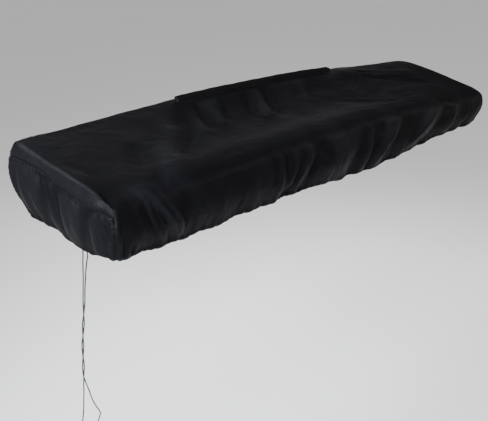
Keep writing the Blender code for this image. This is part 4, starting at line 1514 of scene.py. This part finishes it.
@dataclass(frozen=True)
class SlotBinding:
    """The folded tape that edges the slot, standing up from the top."""

    form: CoverForm
    wall: float = 0.0016
    above: float = 0.0090
    below: float = 0.0030
    gap: float = 0.0001
    pitch: float = 0.0035
    corner: float = 0.0008
    end_points: int = 4
    arc_points: int = 7
    foot: Place = (0.0012, 0.0040)
    thinner: float = 0.86
    wave: float = 0.0005
    wave_rates: Place = (95, 37)
    sharp_from: float = math.radians(60)

    def piece(self, material: bpy.types.Material) -> bpy.types.Object:
        """Sweeps the tape's section round the slot.

        The section is a flat bar with a rounded top, thinner just above its sewn foot. The tape's height
        follows the top's, with a slight wave.

        Args:
            material: Its finish.

        Returns:
            The piece.
        """
        left, right = self.form.slot_left + self.gap, self.form.slot_right - self.gap
        front, back = self.form.slot_front + self.gap, self.form.slot_back - self.gap
        run = np.linspace(left + self.corner, right - self.corner, int((right - left) / self.pitch))
        short = np.linspace(front + self.corner, back - self.corner, self.end_points)
        sides = ((run, 0 * run + front), (0 * short + right, short),
                 (run[::-1], 0 * run + back), (0 * short + left, short[::-1]))
        path = np.concatenate([np.stack(side, 1) for side in sides])
        ahead = unit(np.roll(path, -1, axis=0) - np.roll(path, 1, axis=0))
        out = np.stack([ahead[:, 1], -ahead[:, 0]], 1)
        half = self.wall / 2
        angle = np.linspace(0, math.pi, self.arc_points)
        low, high = self.foot
        across = half * np.concatenate([[1, 1, self.thinner], np.cos(angle), [-self.thinner, -1, -1]])
        up = np.concatenate([[-self.below, low, high], self.above - half + half * np.sin(angle),
                             [high, low, -self.below]])
        along = run_of(path)
        one, two = self.wave_rates
        wave = self.wave * np.sin(along * one) * np.sin(along * two + 1)
        lift = np.clip(up, 0, None) / self.above
        height = self.form.top_height(*path.T)[:, None] + up + lift * wave[:, None]
        flat = (path - out * half)[:, None] + out[:, None] * across[:, None]
        points = np.concatenate([flat, height[..., None]], -1)
        ring, size = height.shape
        quads = quads_between(ring, size, closed=True)
        obj = add_piece("slot_tape", points.reshape(-1, 3), quads.tolist(), material)
        around = np.cumsum(np.hypot(np.diff(across, prepend=across[0]), np.diff(up, prepend=up[0])))
        add_map(obj, CLOTH_MAP, np.stack([np.repeat(along, size), np.tile(around, ring)], 1))
        obj.data.set_sharp_from_angle(angle=self.sharp_from)
        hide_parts("slot_binding")
        LOG.info("%s: %d faces", obj.name, len(quads))
        return obj


@dataclass(frozen=True)
class CordEnd:
    """One free end of the drawcord, with the stopper knot that it ends in."""

    name: str
    route: tuple
    diameter: float = 0.0025
    place: Place = (-0.660, -0.033)
    across: Place = (0.659, -0.752)
    away: Place = (0.752, 0.659)
    fine_points: int = 4000
    ring_pitch: float = 0.0007
    sides: int = 16
    strands: int = 4
    braid_pitch: float = 0.0075
    braid_depth: float = 0.07
    beside: tuple = (1.0, 0.2, 0.1)
    knot_turns: float = 3.0
    knot_radius: float = 0.0021
    knot_height: float = 0.0080
    knot_rise: float = 0.0012
    knot_rings: int = 170
    tail: float = 0.0045
    tail_rings: int = 12
    path_step: int = 4

    def path(self) -> Array:
        """Reads close, even points off the smooth curve through the route's points.

        Returns:
            Rows of x, y and height above the hem's rough level.
        """
        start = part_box(self.name)[1][2] + ORIGIN_HEIGHT
        rows = np.array([(a, b, start if height is None else height) for a, b, height in self.route])
        flat = np.array(self.place) + rows[:, :1] * self.across + rows[:, 1:2] * self.away
        route = np.column_stack([flat, rows[:, 2]])
        chord = run_of(route)
        fine = np.linspace(0, chord[-1], self.fine_points)
        curve = np.stack([smooth(chord, route[:, k], fine) for k in range(3)], -1)
        run = run_of(curve)
        return read_along(np.linspace(0, run[-1], int(run[-1] / self.ring_pitch)), run, curve)

    def tube(self, name: str, path: Array, material: bpy.types.Material) -> bpy.types.Object:
        """Makes a braided tube along a path, closed at both ends.

        The radius dips between strands: the larger of two sines that wind round opposite ways.

        Args:
            name: The piece's name.
            path: Its centreline.
            material: Its finish.

        Returns:
            The piece.
        """
        along = unit(np.gradient(path, axis=0))
        side = unit(np.cross(along, self.beside))
        other = np.cross(along, side)
        angle = 2 * math.pi * np.arange(self.sides) / self.sides
        wind = 2 * math.pi * run_of(path)[:, None] / self.braid_pitch
        weave = np.maximum(np.sin(self.strands * angle + wind * 2), np.sin(self.strands * angle - wind * 2))
        radius = self.diameter / 2 * (1 + self.braid_depth * (weave - 1))
        points = (path[:, None] + side[:, None] * (radius * np.cos(angle))[..., None]
                  + other[:, None] * (radius * np.sin(angle))[..., None])
        body, tips = tube_faces(len(path), self.sides)
        every = np.concatenate([points.reshape(-1, 3), path[:1], path[-1:]])
        obj = add_piece(name, every, body.tolist() + tips.tolist(), material)
        add_number(obj, CREST, np.concatenate([(weave.ravel() + 1) / 2, [0.5, 0.5]]))
        LOG.info("%s: %d faces", name, len(obj.data.polygons))
        return obj

    def make(self, material: bpy.types.Material) -> list[bpy.types.Object]:
        """The knot is three turns of the cord wound round its end, which comes out below as a short tail.

        Args:
            material: The cord's finish.

        Returns:
            The cord and the knot.
        """
        path = self.path()
        cord = self.tube(self.name.replace("cord", "drawcord"), path, material)
        low = path[-1]
        t = np.linspace(0, 1, self.knot_rings)
        turn = 2 * math.pi * self.knot_turns * t
        radius = self.knot_radius * np.minimum(1, 6 * np.minimum(t, 1 - t)) ** 0.5
        winding = np.stack([low[0] + radius * np.cos(turn), low[1] + radius * np.sin(turn),
                            low[2] + self.knot_rise - self.knot_height * t], -1)
        tail = winding[-1] - np.linspace(0, 1, self.tail_rings)[1:, None] * (0, 0, self.tail)
        knot = self.tube(self.name.replace("cord", "stopper_knot"), np.concatenate([winding, tail]), material)
        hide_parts(self.name)
        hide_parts(self.name + "_knot")
        return [cord, knot]


NEAR_CORD = CordEnd("near_cord", (
    # across, away, height, which is the hem's for None
    (0.0051, -0.0045, None),
    (0.0047, -0.0042, -0.0270),
    (0.0020, -0.0032, -0.0400),
    (-0.0008, -0.0020, -0.0590),
    (-0.0030, -0.0010, -0.0780),
    (-0.0050, -0.0004, -0.0960),
    (-0.0066, 0.0000, -0.1180),
    (-0.0099, 0.0016, -0.1400),
    (-0.0135, 0.0000, -0.1620),
    (-0.0141, -0.0016, -0.1840),
    (-0.0142, 0.0000, -0.2060),
    (-0.0168, 0.0016, -0.2280),
    (-0.0191, 0.0000, -0.2500),
    (-0.0184, -0.0016, -0.2700),
    (-0.0150, -0.0010, -0.2860),
    (-0.0105, 0.0000, -0.3030),
    (-0.0052, 0.0000, -0.3230),
    (0.0018, 0.0000, -0.3400),
    (0.0066, 0.0000, -0.3480),
    (0.0084, 0.0000, -0.3535),
    (0.0068, 0.0000, -0.3610),
    (0.0034, 0.0000, -0.3720),
    (0.0015, 0.0000, -0.3840),
    (0.0010, 0.0000, -0.3930),
))
FAR_CORD = CordEnd("far_cord", (
    # across, away, height, which is the hem's for None
    (-0.0045, 0.0040, None),
    (-0.0049, 0.0038, -0.0260),
    (-0.0058, 0.0028, -0.0400),
    (-0.0064, 0.0016, -0.0600),
    (-0.0072, 0.0008, -0.0800),
    (-0.0086, 0.0003, -0.0980),
    (-0.0098, 0.0000, -0.1180),
    (-0.0099, -0.0016, -0.1400),
    (-0.0103, 0.0000, -0.1620),
    (-0.0141, 0.0016, -0.1840),
    (-0.0174, 0.0000, -0.2060),
    (-0.0168, -0.0016, -0.2280),
    (-0.0159, 0.0000, -0.2500),
    (-0.0184, 0.0016, -0.2720),
    (-0.0197, 0.0010, -0.2900),
    (-0.0203, 0.0004, -0.3080),
    (-0.0217, 0.0000, -0.3260),
    (-0.0230, 0.0000, -0.3460),
    (-0.0262, 0.0000, -0.3700),
    (-0.0285, 0.0000, -0.3920),
    (-0.0292, 0.0000, -0.4080),
))


def placed(name: str, data: bpy.types.ID, matrix: Matrix = Matrix()) -> bpy.types.Object:
    """Adds an object that is no piece of the part to the scene."""
    obj = bpy.data.objects.new(name, data)
    bpy.context.scene.collection.objects.link(obj)
    obj.matrix_world = matrix
    return obj


def facing(right: Array, up: Array, back: Array, at: Array) -> Matrix:
    """Makes the matrix of a camera or light from its three axes and its place."""
    matrix = np.eye(4)
    matrix[:3] = np.stack([right, up, back, at], -1)
    return Matrix(matrix.tolist())


@dataclass(frozen=True)
class SoftLight:
    """A rectangular light: where it stands, what it points at, its two sides, its watts and its colour."""

    name: str
    at: tuple
    aim: tuple
    size: Place
    power: float
    colour: tuple

    def add(self, spread: float) -> None:
        """Adds the light, with its rays held within a spread in degrees."""
        data = bpy.data.lights.new(self.name, "AREA")
        data.shape = "RECTANGLE"
        data.size, data.size_y = self.size
        data.energy = self.power
        data.spread = math.radians(spread)
        data.color = self.colour
        back = unit(np.subtract(self.at, self.aim))
        side = unit(np.cross((0, 0, 1), back))
        placed(self.name, data, facing(side, np.cross(back, side), back, self.at))


@dataclass(frozen=True)
class Studio:
    """The pale floor, the soft lights and the camera."""

    camera_at: tuple = (-1.3840, -1.0370, 0.5050)
    yaw: float = 41.23
    pitch: float = -20.21
    roll: float = 0.66
    focal_px: float = 748.6
    image_width: int = 488
    sensor: float = 36.0
    floor_height: float = -0.72
    floor_radius: float = 60.0
    floor_flat: float = 35.0
    floor_rise: float = 7.0
    floor_sides: int = 96
    floor_rings: int = 16
    floor_middle: float = 0.01
    world: float = 0.12
    sun: float = 1.4
    sun_angle: float = 50
    spread: float = 70
    soft_lights: tuple = (
        SoftLight("left_light", (-2.4, -0.25, 0.35), (-0.2, 0, 0), (0.9, 0.9), 24, (0.93, 0.95, 1.0)),
        SoftLight("near_light", (-2.1, -1.3, 0.60), (-0.2, 0, 0), (0.9, 0.9), 22, (0.94, 0.96, 1.0)),
        SoftLight("high_light", (-0.8, 1.1, 1.4), (-0.2, 0, 0), (1.2, 0.7), 8, (0.95, 0.96, 1.0)),
        SoftLight("back_light", (1.6, 1.7, 0.9), (0.1, 0, 0), (2.0, 0.7), 0.6, (0.97, 0.97, 1.0)),
        SoftLight("low_back_light", (0.9, 2.4, -0.10), (-0.1, 0, -0.06), (1.8, 0.5), 8, (0.97, 0.98, 1.0)),
        SoftLight("right_light", (1.7, -1.5, 1.2), (0.3, 0, 0), (2.0, 1.6), 4.5, (1.0, 0.98, 0.97)))

    def camera(self) -> bpy.types.Object:
        """Makes the camera. Its axes come from yaw, pitch and roll, and its lens from the focal length."""
        yaw, pitch, roll = (math.radians(v) for v in (self.yaw, self.pitch, self.roll))
        ahead = np.array([math.cos(pitch) * math.cos(yaw), math.cos(pitch) * math.sin(yaw), math.sin(pitch)])
        right = unit(np.cross(ahead, (0, 0, 1)))
        up = np.cross(right, ahead)
        turned_right = math.cos(roll) * right + math.sin(roll) * up
        turned_up = math.cos(roll) * up - math.sin(roll) * right
        data = bpy.data.cameras.new("camera")
        data.sensor_width = self.sensor
        data.lens = self.focal_px * self.sensor / self.image_width
        at = np.array(self.camera_at) - (0, 0, ORIGIN_HEIGHT)
        camera = placed("camera", data, facing(turned_right, turned_up, -ahead, at))
        bpy.context.scene.camera = camera
        return camera

    def lights(self) -> None:
        """Adds the lights: two strong ones at the left end, four weaker ones, a wide sun and a dim sky."""
        for light in self.soft_lights:
            light.add(self.spread)
        sun = bpy.data.lights.new("overhead_light", "SUN")
        sun.energy = self.sun
        sun.angle = math.radians(self.sun_angle)
        placed("overhead_light", sun)
        world = bpy.data.worlds.new("studio_air")
        bpy.context.scene.world = world
        world.use_nodes = True
        sky = world.node_tree.nodes["Background"]
        sky.inputs["Color"].default_value = (1, 1, 1, 1)
        sky.inputs["Strength"].default_value = self.world

    def floor(self) -> bpy.types.Object:
        """Lays the floor, which rises softly far away, so that it is also the backdrop.

        Returns:
            The floor.
        """
        sides = self.floor_sides
        rings = np.linspace(self.floor_flat, self.floor_radius, self.floor_rings)
        radius = np.concatenate([[self.floor_middle], rings])
        angle = 2 * math.pi * np.arange(sides) / sides
        rise = fade(radius - self.floor_flat, self.floor_radius - self.floor_flat)
        height = self.floor_height + self.floor_rise * rise
        points = np.stack([radius[:, None] * np.cos(angle), radius[:, None] * np.sin(angle),
                           height[:, None] + 0 * angle], -1)
        mesh = bpy.data.meshes.new("floor")
        quads = quads_between(len(radius), sides).tolist()
        mesh.from_pydata(points.reshape(-1, 3).tolist(), [], quads + [list(range(sides))])
        mesh.materials.append(FloorFinish().material())
        floor = placed("floor", mesh)
        return floor


def main() -> None:
    """Builds the camera and cords, then the cloth, its sewing and the binding, then the lights and the floor.
    """
    logging.basicConfig(level=logging.INFO, format="%(name)s: %(message)s")
    studio = Studio()
    studio.camera()
    braid = BraidFinish().material()
    for end in (NEAR_CORD, FAR_CORD):
        end.make(braid)

    form = CoverForm()
    cover = CoverCloth(form, ClothRelief(form), ThinCloth())
    main_cloth = cover.main_panel(NylonFinish().material("main_nylon", 1))
    end_nylon = NylonFinish(pleat_depth=0.0009)
    left_cloth = cover.end_panel(Panel.LEFT_END, end_nylon.material("left_end_nylon", 2))
    right_cloth = cover.end_panel(Panel.RIGHT_END, end_nylon.material("right_end_nylon", 3))
    tape = SlotBinding(form).piece(TapeFinish().material())
    thread = ThreadFinish().material()
    stitching = Stitching()
    seams, hem, slot = (stitching.piece(row.value, cover.lines[row], thread) for row in Sewing)

    studio.lights()
    studio.floor()


if __name__ == "__main__":
    main()
